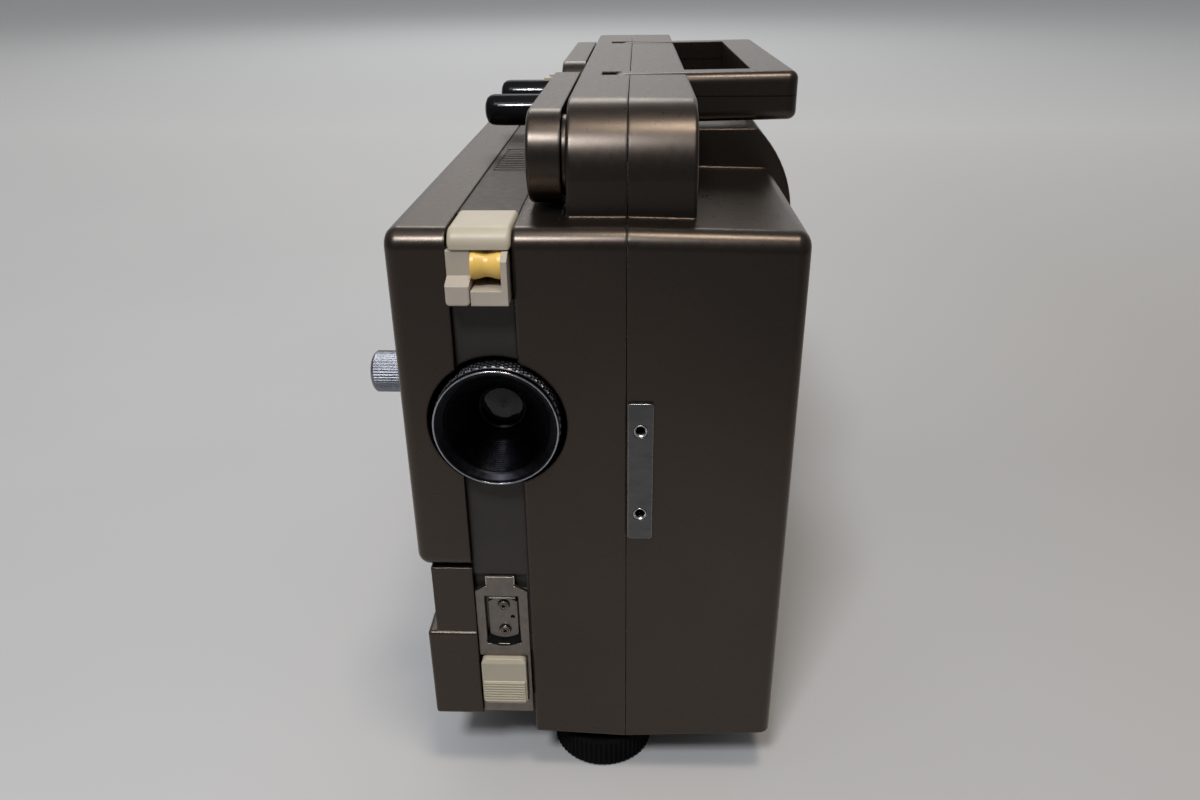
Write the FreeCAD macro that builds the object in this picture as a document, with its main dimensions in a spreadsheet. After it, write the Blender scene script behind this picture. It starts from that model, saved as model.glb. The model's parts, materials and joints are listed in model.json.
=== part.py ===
"""Sound movie projector with folding reel arms, seen from its lens end.

Working axes: X to the right, seen from the front, with 0 on the seam between the two
half shells; Y from the front face to the back; Z up from the table. The finished parts
are then shifted so that the origin is under the middle of the object.
"""
import FreeCAD
import Part
import Sketcher

import math
import os

# Driving dimensions in millimetres: name, value, meaning
DIMENSIONS = [
    ("wall", 2.5, "wall of the two half shells"),
    ("seam_gap", 0.3, "gap between the half shells"),
    ("body_bottom", 18.5, "underside of the half shells above the table"),
    ("body_height", 198.0, "height of the half shells without the ridge"),
    ("body_length", 309.0, "front face to back face"),
    ("right_width", 55.0, "seam to the right side, front part"),
    ("left_width", 34.5, "seam to the left side of the left half shell"),
    ("right_bottom_rise", 3.0, "the underside rises towards the right side"),
    ("left_bottom_rise", 1.8, "the underside rises towards the left side"),
    ("right_top_fall", 1.4, "the top falls towards the right side"),
    ("front_top_radius", 6.0, "rounding of the top front edge"),
    ("front_side_radius", 4.0, "rounding of the outer front corners"),
    ("small_radius", 1.2, "rounding of the fine outer edges"),
    ("ridge_height", 33.0, "ridge above the body"),
    ("ridge_left", 19.0, "seam to the ridge's left side"),
    ("ridge_right", 21.5, "seam to the ridge's right side"),
    ("ridge_front", 16.0, "front face to the foot of the ridge's nose"),
    ("ridge_nose_radius", 22.0, "rounding of the ridge's nose"),
    ("shoulder_front", 97.0, "front face to the shoulder on the right"),
    ("shoulder_height", 13.5, "flat top of the shoulder above the body"),
    ("shoulder_arc_right", 16.7, "seam to the centre of the shoulder's arc"),
    ("shoulder_arc_drop", 20.7, "centre of the shoulder's arc below the body's top"),
    ("shoulder_arc_radius", 47.0, "radius of the shoulder"),
    ("screw_inset", 14.0, "shell screws from the front, back and top"),
    ("front_screw_rise", 40.0, "low front shell screw above the underside"),
    ("rear_screw_rise", 10.5, "low rear shell screw above the underside"),
    ("screw_radius", 1.5, "shell screws"),
    ("screw_head_radius", 3.2, "heads of the shell screws"),
    ("screw_sink", 4.0, "heads of the shell screws below the side face"),
    ("screw_post_radius", 5.0, "posts round the shell screws"),
    ("side_slot_spacing", 6.0, "air slots in the right side"),
    ("motor_slots_front", 112.0, "air slots beside the motor, behind the front face"),
    ("motor_slots_length", 38.0, "air slots beside the motor"),
    ("back_opening_right", 46.0, "seam to the right side of the rear opening"),
    ("back_opening_left", 28.0, "seam to the left side of the rear opening"),
    ("back_opening_bottom", 42.0, "rear opening above the table"),
    ("back_opening_height", 146.0, "height of the rear opening"),
    ("panel_overlap", 4.0, "rear panel beyond its opening, all round"),
    ("panel_thickness", 2.0, "rear panel"),
    ("power_left", 8.0, "seam to the power inlet's left side"),
    ("power_width", 27.0, "power inlet"),
    ("power_bottom", 56.0, "power inlet above the table"),
    ("power_height", 20.0, "power inlet"),
    ("power_pin_radius", 1.2, "pins of the power inlet"),
    ("socket_left", 12.0, "seam to the output sockets"),
    ("socket_bottom", 70.0, "lowest output socket above the table"),
    ("socket_spacing", 26.0, "output sockets, one above the other"),
    ("socket_radius", 8.0, "output sockets in the rear panel"),
    ("panel_slots_bottom", 112.0, "lowest slot of the rear panel above the table"),

    ("channel_width", 20.0, "film channel between the left shell and the door"),
    ("channel_bottom", 28.0, "underside of the film channel above the table"),
    ("channel_setback", 3.0, "fascia behind the front face"),
    ("channel_top_drop", 0.5, "top of the channel below the body's top"),
    ("vent_front", 90.0, "first vent in the channel's top behind the front face"),
    ("vent_spacing", 4.7, "vents in the channel's top"),
    ("vent_width", 2.8, "vents in the channel's top"),
    ("frame_wall", 2.5, "outer walls of the mechanism frame"),
    ("frame_back", 2.0, "carrier wall of the mechanism frame"),
    ("frame_rear_setback", 5.0, "back of the mechanism frame in front of the back face"),
    ("inlet_notch_height", 22.1, "open corner for the film inlet, from the body's top"),
    ("inlet_notch_depth", 23.0, "open corner for the film inlet, from the front face"),

    ("door_width", 19.0, "film door and rear side cover, across"),
    ("door_length", 205.0, "film door from the front face"),
    ("door_bottom", 95.2, "underside of the film door above the table"),
    ("door_wall", 2.2, "wall of the film door and covers"),
    ("cover_gap", 0.2, "gap between covers and their neighbours"),
    ("door_gap", 0.8, "gap between the film door and the rear side cover"),
    ("cover_slots_bottom", 120.0, "air slots in the rear side cover above the table"),
    ("cover_slot_spacing", 5.0, "air slots in the rear side cover"),
    ("door_bottom_radius", 5.0, "rounding of the door's lower left edge"),
    ("base_width", 18.0, "operator base, across"),
    ("base_ledge_top", 67.0, "top of the base ledge above the table"),
    ("waist_width", 14.5, "waist above the base ledge, across"),
    ("waist_setback", 0.8, "waist behind the front face"),

    ("lens_left", 42.0, "seam to the lens axis"),
    ("lens_height", 152.5, "lens axis above the table"),
    ("lens_cutout_radius", 22.9, "round cut-out in the shells around the lens"),
    ("lens_proud", 3.7, "lens rim in front of the front face"),
    ("lens_rim_radius", 20.5, "front rim of the lens"),
    ("lens_bell_length", 25.7, "length of the wide front of the barrel"),
    ("lens_tube_radius", 14.5, "barrel tube in its holder"),
    ("lens_tube_length", 30.0, "length of the barrel tube"),
    ("lens_bore_radius", 9.5, "bore of the barrel"),
    ("lens_cone_depth", 17.7, "depth of the front cone"),
    ("zoom_ring_radius", 20.2, "knurled zoom ring"),
    ("zoom_ring_length", 13.0, "knurled zoom ring, along the lens"),
    ("zoom_ring_seat_radius", 17.6, "seat of the zoom ring on the barrel"),
    ("glass_thickness", 4.0, "lens glasses, at their edge"),
    ("focus_travel", 4.0, "travel of the lens each way"),
    ("running_gap", 0.05, "radial clearance of shafts and pins"),
    ("focus_back", 37.0, "focus shaft behind the front face"),
    ("focus_rise", 2.5, "focus shaft above the lens axis"),
    ("pinion_radius", 3.0, "pitch radius of the focus pinion"),
    ("focus_knob_radius", 7.5, "focus knob"),
    ("focus_knob_length", 16.0, "focus knob"),
    ("focus_knob_gap", 2.0, "focus knob outside the film door"),

    ("roller_radius", 4.6, "film guide roller at its rims"),
    ("roller_waist_radius", 3.85, "film guide roller at its waist"),
    ("roller_height", 205.8, "film guide roller axis above the table"),
    ("roller_back", 2.0, "film guide roller axis behind the front face"),
    ("roller_pin_radius", 1.5, "pin of the film guide roller"),
    ("guide_drop", 11.1, "underside of the guide block below the roller's axis"),
    ("guide_step_drop", 4.9, "front of the guide block's step below the roller's axis"),
    ("guide_slope_drop", 3.1, "back of the guide block's step below the roller's axis"),
    ("guide_rise", 4.6, "top of the guide block above the roller's axis"),
    ("guide_width", 7.5, "channel's left side to the bracket"),
    ("guide_corner_radius", 1.2, "lower corners of the guide block"),
    ("guide_edge_radius", 0.6, "upright front edges of the guide block"),
    ("bracket_bar_drop", 6.5, "top of the bracket's bar below the roller's axis"),
    ("bracket_proud", 4.6, "roller bracket in front of the front face"),
    ("bracket_gap", 0.3, "guide block to the roller bracket"),
    ("bracket_slope_rise", 2.6, "foot of the bracket's slope above the roller's axis"),
    ("inlet_cap_front_radius", 5.0, "rounded front of the inlet cap"),
    ("inlet_cap_side_radius", 1.5, "rounded sides of the inlet cap"),

    ("foot_left", 9.4, "seam to the foot's axis"),
    ("foot_back", 21.0, "foot's axis behind the front face"),
    ("foot_wheel_radius", 19.5, "ribbed foot wheel"),
    ("foot_wheel_height", 12.5, "ribbed foot wheel"),
    ("foot_shaft_radius", 4.0, "threaded foot shaft"),
    ("foot_travel", 12.0, "how far the foot screws out"),
    ("foot_bush_radius", 8.0, "bush of the foot in the underside"),
    ("rear_foot_radius", 9.0, "rear rubber feet"),
    ("rear_foot_gap", 24.0, "rear feet in front of the back face"),
    ("rear_foot_right", 47.0, "seam to the right rear foot"),
    ("rear_foot_left", 62.0, "seam to the left rear foot"),

    ("handle_front", 100.0, "front leg of the handle behind the front face"),
    ("handle_length", 161.0, "handle from leg to leg, outside"),
    ("handle_leg", 12.0, "handle leg, along the body"),
    ("handle_grip", 17.0, "handle grip, across"),
    ("handle_height", 18.5, "handle leg, top to bottom"),
    ("handle_right", 63.5, "seam to the outside of the grip"),
    ("handle_pivot_left", 1.0, "seam to the handle's pivot"),
    ("handle_pin_radius", 2.5, "handle pivot pins"),
    ("handle_edge_radius", 3.0, "rounding along the handle's grip"),
    ("handle_corner_radius", 4.0, "rounding of the handle's corners"),
    ("handle_top_rise", 0.9, "grip's top above the leg's root"),
    ("handle_bottom_rise", 1.6, "grip's underside above the leg's root"),
    ("slot_gap", 0.5, "clearance of the handle legs in their slots"),
    ("slot_rib", 3.0, "ribs beside the slots"),

    ("arm_width", 10.7, "reel arms, across"),
    ("arm_gap", 1.8, "reel arms from the ridge's side"),
    ("arm_radius", 14.7, "rounded ends of the reel arms"),
    ("arm_top_drop", 2.6, "reel arms below the ridge's top"),
    ("front_arm_pivot", 33.5, "front arm's pivot behind the front face"),
    ("front_arm_length", 101.5, "front arm, pivot to spindle"),
    ("rear_arm_gap", 16.0, "rear arm's pivot in front of the back face"),
    ("spindle_spacing", 51.0, "front to rear spindle with the arms folded"),
    ("arm_stud_radius", 4.0, "studs that carry the reel arms"),
    ("spindle_radius", 6.3, "reel spindles, for the standard reel hole"),
    ("spindle_length", 29.0, "reel spindles outside the arm"),
    ("spindle_shaft_radius", 3.0, "spindle shafts in the arms"),

    ("plate_left_edge", 0.5, "seam to the bright front plate"),
    ("plate_width", 8.2, "bright front plate"),
    ("plate_height", 50.8, "bright front plate"),
    ("plate_bottom", 109.9, "bright front plate above the table"),
    ("plate_thickness", 1.2, "bright front plate"),
    ("plate_corner_radius", 0.9, "corners of the bright front plate"),
    ("plate_hole_radius", 1.6, "holes of the bright front plate"),
    ("plate_hole_spacing", 31.3, "holes of the bright front plate"),
    ("plate_sink_depth", 0.8, "depth of the countersinks"),

    ("button_bottom", 34.6, "push button above the table"),
    ("button_height", 20.5, "push button"),
    ("button_width", 16.5, "push button, across"),
    ("button_clearance", 0.4, "gap round the push button"),
    ("button_ridges_height", 10.6, "ridged lower part of the push button"),
    ("button_ridge_spacing", 1.2, "thumb ridges of the push button"),
    ("button_bevel", 1.6, "bevel at the push button's top"),
    ("button_travel", 3.0, "push button travel"),
    ("button_proud", 1.0, "push button in front of the front face"),
    ("cutter_window_bottom", 60.9, "cutter window above the table"),
    ("cutter_window_height", 21.7, "cutter window"),
    ("cutter_window_width", 12.6, "cutter window"),
    ("cutter_plate_thickness", 1.4, "cutter plate"),
    ("cutter_plate_width", 18.8, "cutter plate"),
    ("cutter_shoulder_slope", 2.3, "rise of the cutter plate's shoulders to the tab"),
    ("cutter_tab_height", 4.1, "tab of the cutter plate above its shoulders"),
    ("cutter_recess_depth", 1.6, "sunk corners beside the cutter plate's tab"),
    ("cutter_tab_width", 9.5, "tab of the cutter plate"),
    ("cutter_nose_radius", 9.0, "round lower end of the cutter block's nose"),
    ("cutter_screw_height", 66.2, "lower screw of the cutter block above the table"),
    ("cutter_screw_spacing", 11.2, "screws of the cutter block"),
    ("cutter_screw_radius", 1.9, "heads of the cutter block's screws"),

    ("chassis_thickness", 3.0, "chassis plate"),
    ("chassis_left", 1.0, "seam to the chassis plate"),
    ("chassis_front", 31.0, "chassis plate behind the front face"),
    ("chassis_rear_gap", 24.0, "chassis plate in front of the back face"),
    ("chassis_window_bottom", 60.0, "window in the chassis plate above the table"),
    ("chassis_window_height", 30.0, "window in the chassis plate"),
    ("shutter_radius", 20.0, "shutter disc"),
    ("shutter_right", 17.2, "lens axis to the shutter shaft"),
    ("shutter_back", 70.0, "shutter behind the front face"),
    ("belt_back", 83.5, "drive belt behind the front face"),
    ("belt_width", 5.0, "drive belt"),
    ("belt_thickness", 1.5, "drive belt"),
    ("shutter_pulley_radius", 14.0, "pulley on the shutter shaft"),
    ("motor_pulley_radius", 6.0, "pulley on the motor shaft"),
    ("motor_right", 28.0, "seam to the motor's axis"),
    ("motor_height", 70.0, "motor's axis above the table"),
    ("motor_radius", 21.0, "motor"),
    ("motor_length", 52.0, "motor"),
    ("fan_radius", 22.0, "cooling fan"),
    ("lamp_back", 100.0, "reflector rim behind the front face"),
    ("lamp_radius", 21.0, "reflector rim"),
    ("lamp_depth", 24.0, "reflector, rim to neck"),
    ("sprocket_radius", 8.0, "film sprockets"),
    ("upper_sprocket_back", 40.0, "upper sprocket behind the front face"),
    ("upper_sprocket_rise", 38.0, "upper sprocket above the lens axis"),
    ("lower_sprocket_back", 50.0, "lower sprocket behind the front face"),
    ("lower_sprocket_drop", 42.0, "lower sprocket below the lens axis"),
    ("capstan_back", 170.0, "capstan behind the front face"),
    ("capstan_drop", 34.0, "capstan below the lens axis"),
    ("knob_shaft_radius", 3.0, "shafts of the operator's knobs"),
    ("knob_height", 47.5, "operator's knobs above the table"),
    ("knob_proud", 10.0, "operator's knobs outside the base"),
    ("control_knob_radius", 17.0, "film control knob"),
    ("control_knob_back", 74.0, "film control knob behind the front face"),
    ("small_knob_radius", 8.0, "volume and tone knobs"),
    ("volume_knob_back", 130.0, "volume knob behind the front face"),
    ("tone_knob_back", 160.0, "tone knob behind the front face"),
    ("transformer_rear_gap", 41.0, "transformer in front of the back face"),
    ("transformer_length", 56.0, "transformer, along the body"),
    ("transformer_right", 50.0, "seam to the transformer's right side"),
    ("transformer_bottom", 30.0, "transformer above the table"),
    ("transformer_height", 60.0, "transformer"),
    ("transformer_leg", 12.0, "legs of the transformer's core"),
    ("board_rear_gap", 31.0, "amplifier board in front of the back face"),
    ("board_length", 88.0, "amplifier board, along the body"),
    ("board_bottom", 110.0, "amplifier board above the table"),
    ("board_height", 76.0, "amplifier board, upwards"),
    ("speaker_radius", 30.0, "speaker"),
    ("speaker_back", 240.0, "speaker behind the front face"),
    ("speaker_height", 150.0, "speaker above the table"),
]

doc = FreeCAD.newDocument("projector")


class Size:
    """A size: its value, and the sheet expression that gives it."""

    def __init__(self, text, value):
        self.text = text
        self.value = value

    def __add__(self, other):
        other = size(other)
        return Size("(%s + %s)" % (self.text, other.text), self.value + other.value)

    def __sub__(self, other):
        other = size(other)
        return Size("(%s - %s)" % (self.text, other.text), self.value - other.value)

    def __mul__(self, other):
        other = size(other)
        return Size("(%s * %s)" % (self.text, other.text), self.value * other.value)

    def __truediv__(self, other):
        other = size(other)
        return Size("(%s / %s)" % (self.text, other.text), self.value / other.value)

    def __radd__(self, other):
        return size(other) + self

    def __rsub__(self, other):
        return size(other) - self

    def __rmul__(self, other):
        return size(other) * self

    def __neg__(self):
        return Size("(0 - %s)" % self.text, -self.value)


def size(value):
    """A Size as it is, or a plain number as a Size."""
    if isinstance(value, Size):
        return value
    return Size("(%r)" % float(value), float(value))


def make_sheet():
    """Put the driving dimensions into the document's sheet."""
    sheet = doc.addObject("Spreadsheet::Sheet", "dims")
    for row, (alias, value, meaning) in enumerate(DIMENSIONS, start=1):
        sheet.set("A%d" % row, str(value))
        sheet.setAlias("A%d" % row, alias)
        sheet.set("B%d" % row, meaning)
    doc.recompute()
    return {alias: Size("dims.%s" % alias, value) for alias, value, _ in DIMENSIONS}


D = make_sheet()
ORDER = {"X": 0, "Y": 1, "Z": 2}
PLANES = {"X": "YZ_Plane", "Y": "XZ_Plane", "Z": "XY_Plane"}
FINISHED = []
CORNERS = {}


def bind(thing, path, value):
    """Tie one property to the sheet."""
    thing.setExpression(path, size(value).text)


def place(thing, x, y, z):
    """Tie an object's position to the sheet."""
    CORNERS[thing.Name] = (x, y, z)
    for letter, value in zip("xyz", (x, y, z)):
        bind(thing, "Placement.Base.%s" % letter, value)


def box(name, x, y, z):
    """A box from three (low, high) pairs."""
    thing = doc.addObject("Part::Box", name)
    for path, (low, high) in (("Length", x), ("Width", y), ("Height", z)):
        bind(thing, path, size(high) - low)
    place(thing, x[0], y[0], z[0])
    return thing


def rod(name, axis, span, centre, radius):
    """A round bar along an axis; centre gives the other two coordinates in X, Y, Z order."""
    thing = doc.addObject("Part::Cylinder", name)
    turns = {"X": ((0, 1, 0), 90), "Y": ((1, 0, 0), -90), "Z": ((0, 0, 1), 0)}
    vector, angle = turns[axis]
    thing.Placement = FreeCAD.Placement(
        FreeCAD.Vector(0, 0, 0), FreeCAD.Rotation(FreeCAD.Vector(*vector), angle))
    position = list(centre)
    position.insert(ORDER[axis], span[0])
    place(thing, *position)
    bind(thing, "Radius", radius)
    bind(thing, "Height", size(span[1]) - span[0])
    return thing


def join(name, *things):
    """Several solids made one."""
    thing = doc.addObject("Part::MultiFuse", name)
    thing.Shapes = list(things)
    thing.Refine = True
    return thing


def cut(name, base, *tools):
    """A solid with others taken away."""
    thing = doc.addObject("Part::Cut", name)
    thing.Base = base
    thing.Tool = tools[0] if len(tools) == 1 else join(name + "_cutters", *tools)
    return thing


def shared(name, *things):
    """What several solids have in common."""
    thing = doc.addObject("Part::MultiCommon", name)
    thing.Shapes = list(things)
    return thing


def group(name, *things):
    """Separate solids kept side by side under one name."""
    thing = doc.addObject("Part::Compound", name)
    thing.Links = list(things)
    return thing


def origin_plane(body, role):
    """One of a body's own origin planes."""
    for feature in body.Origin.OriginFeatures:
        if feature.Role == role:
            return feature
    raise ValueError(role)


def sketch_in(body, name, role, offset):
    """A sketch on an origin plane, with its own origin moved by offset in plane axes."""
    sketch = body.newObject("Sketcher::SketchObject", name)
    sketch.AttachmentSupport = [(origin_plane(body, role), "")]
    sketch.MapMode = "FlatFace"
    for letter, value in zip("xyz", offset):
        bind(sketch, "AttachmentOffset.Base.%s" % letter, value)
    return sketch


def fix(sketch, kind, geometry, point, value, label):
    """One driving distance of a sketch, tied to the sheet."""
    number = sketch.addConstraint(Sketcher.Constraint(kind, geometry, point, size(value).value))
    sketch.renameConstraint(number, label)
    bind(sketch, "Constraints.%s" % label, value)


def outline_sketch(sketch, points):
    """A closed outline of straight lines through (Size, Size) points."""
    count = len(points)
    flat = [FreeCAD.Vector(size(a).value, size(b).value, 0) for a, b in points]
    for index in range(count):
        sketch.addGeometry(Part.LineSegment(flat[index], flat[(index + 1) % count]), False)
    for index in range(count):
        following = (index + 1) % count
        sketch.addConstraint(Sketcher.Constraint("Coincident", index, 2, following, 1))
    for index, (a, b) in enumerate(points):
        fix(sketch, "DistanceX", index, 1, a, "across%d" % index)
        fix(sketch, "DistanceY", index, 1, b, "up%d" % index)


def prism(name, axis, points, span):
    """An outline pushed along an axis; points hold the other two coordinates."""
    body = doc.addObject("PartDesign::Body", name)
    start = -size(span[0]) if axis == "Y" else size(span[0])
    sketch = sketch_in(body, name + "_outline", PLANES[axis], (0, 0, start))
    outline_sketch(sketch, points)
    pad = body.newObject("PartDesign::Pad", name + "_pad")
    pad.Profile = sketch
    pad.Reversed = axis == "Y"
    bind(pad, "Length", size(span[1]) - span[0])
    body.Tip = pad
    sketch.Visibility = False
    return body


def turned(name, axis, centre, points):
    """A turned piece: points hold (distance along the axis, radius)."""
    body = doc.addObject("PartDesign::Body", name)
    first, second = centre
    if axis == "X":
        role, offset, line = "XY_Plane", (0, first, second), "H_Axis"
        outline = points
    elif axis == "Y":
        role, offset, line = "XY_Plane", (first, 0, second), "V_Axis"
        outline = [(radius, along) for along, radius in points]
    else:
        role, offset, line = "XZ_Plane", (first, 0, -size(second)), "V_Axis"
        outline = [(radius, along) for along, radius in points]
    sketch = sketch_in(body, name + "_section", role, offset)
    outline_sketch(sketch, outline)
    spin = body.newObject("PartDesign::Revolution", name + "_turn")
    spin.Profile = sketch
    spin.ReferenceAxis = (sketch, [line])
    spin.Angle = 360
    body.Tip = spin
    sketch.Visibility = False
    return body


def flutes(body, axis, centre, span, pitch_radius, flute_radius, count):
    """Round flutes cut along a turned piece, evenly spaced."""
    name = body.Name + "_flute"
    start = -size(span[0]) if axis == "Y" else size(span[0])
    sketch = sketch_in(body, name + "_outline", PLANES[axis], (centre[0], centre[1], start))
    middle = FreeCAD.Vector(size(pitch_radius).value, 0, 0)
    circle = Part.Circle(middle, FreeCAD.Vector(0, 0, 1), size(flute_radius).value)
    sketch.addGeometry(circle, False)
    fix(sketch, "DistanceX", 0, 3, pitch_radius, "pitch")
    sketch.addConstraint(Sketcher.Constraint("PointOnObject", 0, 3, -1))
    radius = sketch.addConstraint(Sketcher.Constraint("Radius", 0, size(flute_radius).value))
    sketch.renameConstraint(radius, "flute")
    bind(sketch, "Constraints.flute", flute_radius)
    pocket = body.newObject("PartDesign::Pocket", name)
    pocket.Profile = sketch
    pocket.Reversed = axis != "Y"
    bind(pocket, "Length", size(span[1]) - span[0])
    pattern = body.newObject("PartDesign::PolarPattern", name + "s")
    pattern.Originals = [pocket]
    pattern.Axis = (sketch, ["N_Axis"])
    pattern.Angle = 360
    pattern.Occurrences = count
    body.Tip = pattern
    sketch.Visibility = False
    return body


def near(value, wanted):
    """True where a coordinate is what is wanted: anything, a range or one value."""
    if wanted is None:
        return True
    if isinstance(wanted, tuple):
        return size(wanted[0]).value - 0.01 <= value <= size(wanted[1]).value + 0.01
    return abs(value - size(wanted).value) < 0.02


def runs_along(edge, axis):
    """True where an edge runs mostly along one axis."""
    first = edge.Vertexes[0].Point
    last = edge.Vertexes[-1].Point
    lengths = [abs(last[i] - first[i]) for i in range(3)]
    main = lengths.pop(ORDER[axis])
    return main > 0.5 and max(lengths) < 0.12 * main


def pick(shape, along=None, x=None, y=None, z=None):
    """Names of the edges whose middle lies where it is wanted."""
    names = []
    for number, edge in enumerate(shape.Edges, start=1):
        middle = edge.CenterOfMass
        if along and not runs_along(edge, along):
            continue
        if near(middle.x, x) and near(middle.y, y) and near(middle.z, z):
            names.append("Edge%d" % number)
    if not names:
        raise ValueError("no edge found for a rounding")
    return names


def block(name, x, y, z):
    """A box made as a sketch and a pad, so that its edges can be rounded."""
    return prism(name, "Z", [(x[0], y[0]), (x[1], y[0]), (x[1], y[1]), (x[0], y[1])], z)


def rounded(name, base, *rounds):
    """A solid with rounded edges: each round is (radius, where the edges are)."""
    doc.recompute()
    body = base
    if base.TypeId != "PartDesign::Body":
        body = doc.addObject("PartDesign::Body", name)
        body.BaseFeature = base
        doc.recompute()
    for number, (radius, where) in enumerate(rounds, start=1):
        below = body.Tip
        fillet = body.newObject("PartDesign::Fillet", "%s_round%d" % (name, number))
        fillet.Base = (below, pick(body.Shape, **where))
        bind(fillet, "Radius", radius)
        body.Tip = fillet
        doc.recompute()
        if "Invalid" in fillet.State or "Error" in fillet.State:
            raise ValueError("rounding %d of %s failed" % (number, name))
    return body


def finish(thing, label):
    """Name a finished part and put it into the frame of the whole object."""
    thing.Label = label
    x, y, z = CORNERS.get(thing.Name, (0, 0, 0))
    place(thing, x - ORIGIN_X, y - ORIGIN_Y, z)
    FINISHED.append(thing)
    return thing


# Places that several parts share
HALF_GAP = D["seam_gap"] / 2
BODY_TOP = D["body_bottom"] + D["body_height"]
RIDGE_TOP = BODY_TOP + D["ridge_height"]
SHOULDER_TOP = BODY_TOP + D["shoulder_height"]
SHOULDER_ARC_Z = BODY_TOP - D["shoulder_arc_drop"]
SHOULDER_RIGHT = D["shoulder_arc_right"] + D["shoulder_arc_radius"]
BACK = D["body_length"]
CHANNEL_RIGHT = -D["left_width"]
CHANNEL_LEFT = CHANNEL_RIGHT - D["channel_width"]
COVER_RIGHT = CHANNEL_LEFT
COVER_LEFT = CHANNEL_LEFT - D["door_width"]
FRAME_TOP = BODY_TOP - D["channel_top_drop"]
FRAME_BACK_Y = BACK - D["frame_rear_setback"]
CARRIER_LEFT = CHANNEL_RIGHT - D["frame_back"]
NOTCH_BOTTOM = BODY_TOP - D["inlet_notch_height"]
LENS_X = -D["lens_left"]
LENS_Z = D["lens_height"]
LENS = (LENS_X, LENS_Z)
LINER_BACK = size(23.5)
# The carrier wall is open round the lens holder and the lamp, this far up, down and back
LENS_WINDOW_REACH = size(27.5)
LENS_WINDOW_BACK = size(131.0)
FASCIA_BACK = D["channel_setback"] + D["frame_wall"]
CUTTER_RIGHT = CHANNEL_RIGHT - 4.0
CUTTER_LEFT = CUTTER_RIGHT - D["cutter_window_width"]
CUTTER_HIGH = D["cutter_window_bottom"] + D["cutter_window_height"]
CUTTER_SHOULDER = CUTTER_HIGH + 1.8
CUTTER_TAB_FOOT = CUTTER_SHOULDER + D["cutter_shoulder_slope"]
BUTTON_LEFT = CHANNEL_LEFT + 1.0
BUTTON_RIGHT = BUTTON_LEFT + D["button_width"]
BUTTON_TOP = D["button_bottom"] + D["button_height"]
FOCUS = (D["focus_back"], LENS_Z + D["focus_rise"])
FOCUS_KNOB_RIGHT = COVER_LEFT - D["focus_knob_gap"]
FOCUS_KNOB_LEFT = FOCUS_KNOB_RIGHT - D["focus_knob_length"]
FOOT = (-D["foot_left"], D["foot_back"])
ARM_RIGHT = -D["ridge_left"] - D["arm_gap"]
ARM_LEFT = ARM_RIGHT - D["arm_width"]
ARM_Z = RIDGE_TOP - D["arm_top_drop"] - D["arm_radius"]
FRONT_SPINDLE_Y = D["front_arm_pivot"] + D["front_arm_length"]
REAR_PIVOT_Y = BACK - D["rear_arm_gap"]
REAR_SPINDLE_Y = FRONT_SPINDLE_Y + D["spindle_spacing"]
REAR_FOOT_Y = BACK - D["rear_foot_gap"]
HANDLE_BACK = D["handle_front"] + D["handle_length"]
HANDLE_BOTTOM = RIDGE_TOP - D["handle_height"]
HANDLE_PIVOT = (-D["handle_pivot_left"], RIDGE_TOP - D["handle_height"] / 2)
SLOT_FLOOR = HANDLE_BOTTOM - 0.4
SLOT_LEFT = HANDLE_PIVOT[0] - D["handle_height"] / 2 - D["slot_gap"]
LEG_SPANS = [
    (D["handle_front"], D["handle_front"] + D["handle_leg"]),
    (HANDLE_BACK - D["handle_leg"], HANDLE_BACK),
]
CHASSIS_LEFT = -D["chassis_left"] - D["chassis_thickness"]
CHASSIS_RIGHT = -D["chassis_left"]
SHUTTER = (LENS_X + D["shutter_right"], LENS_Z)
MOTOR = (D["motor_right"], D["motor_height"])
ORIGIN_X = (FOCUS_KNOB_LEFT + SHOULDER_RIGHT) / 2
GUIDE_PROUD = size(5.0)
ORIGIN_Y = (BACK - GUIDE_PROUD) / 2
PLATE_HOLES_Z = [
    D["plate_bottom"] + (D["plate_height"] - D["plate_hole_spacing"]) / 2,
    D["plate_bottom"] + (D["plate_height"] + D["plate_hole_spacing"]) / 2,
]
PLATE_MIDDLE_X = D["plate_left_edge"] + D["plate_width"] / 2
ROLLER = (D["roller_back"], D["roller_height"])
SPROCKETS = [
    (D["upper_sprocket_back"], LENS_Z + D["upper_sprocket_rise"]),
    (D["lower_sprocket_back"], LENS_Z - D["lower_sprocket_drop"]),
]
CAPSTAN = (D["capstan_back"], LENS_Z - D["capstan_drop"])
SPRING_BACK = size(20.0)
BUTTON_STEM = ((CHANNEL_LEFT + CHANNEL_RIGHT - 1) / 2, (D["button_bottom"] + BUTTON_TOP) / 2)
# How far the knobs' bosses reach into the base, and each knob's Y, Z and radius
KNOB_REACH = size(9.0)
KNOBS = [
    ((D["control_knob_back"], D["knob_height"]), D["control_knob_radius"]),
    ((D["volume_knob_back"], D["knob_height"]), D["small_knob_radius"]),
    ((D["tone_knob_back"], D["knob_height"]), D["small_knob_radius"]),
]
# Each shell screw: Y, Z and the side face that it starts from
INSET = D["screw_inset"]
SHELL_SCREWS = [
    (INSET, D["body_bottom"] + D["front_screw_rise"], D["right_width"]),
    (INSET, BODY_TOP - INSET, D["right_width"]),
    (BACK - INSET, D["body_bottom"] + D["rear_screw_rise"], SHOULDER_RIGHT),
    (BACK - INSET, BODY_TOP - INSET, SHOULDER_RIGHT),
]


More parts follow.
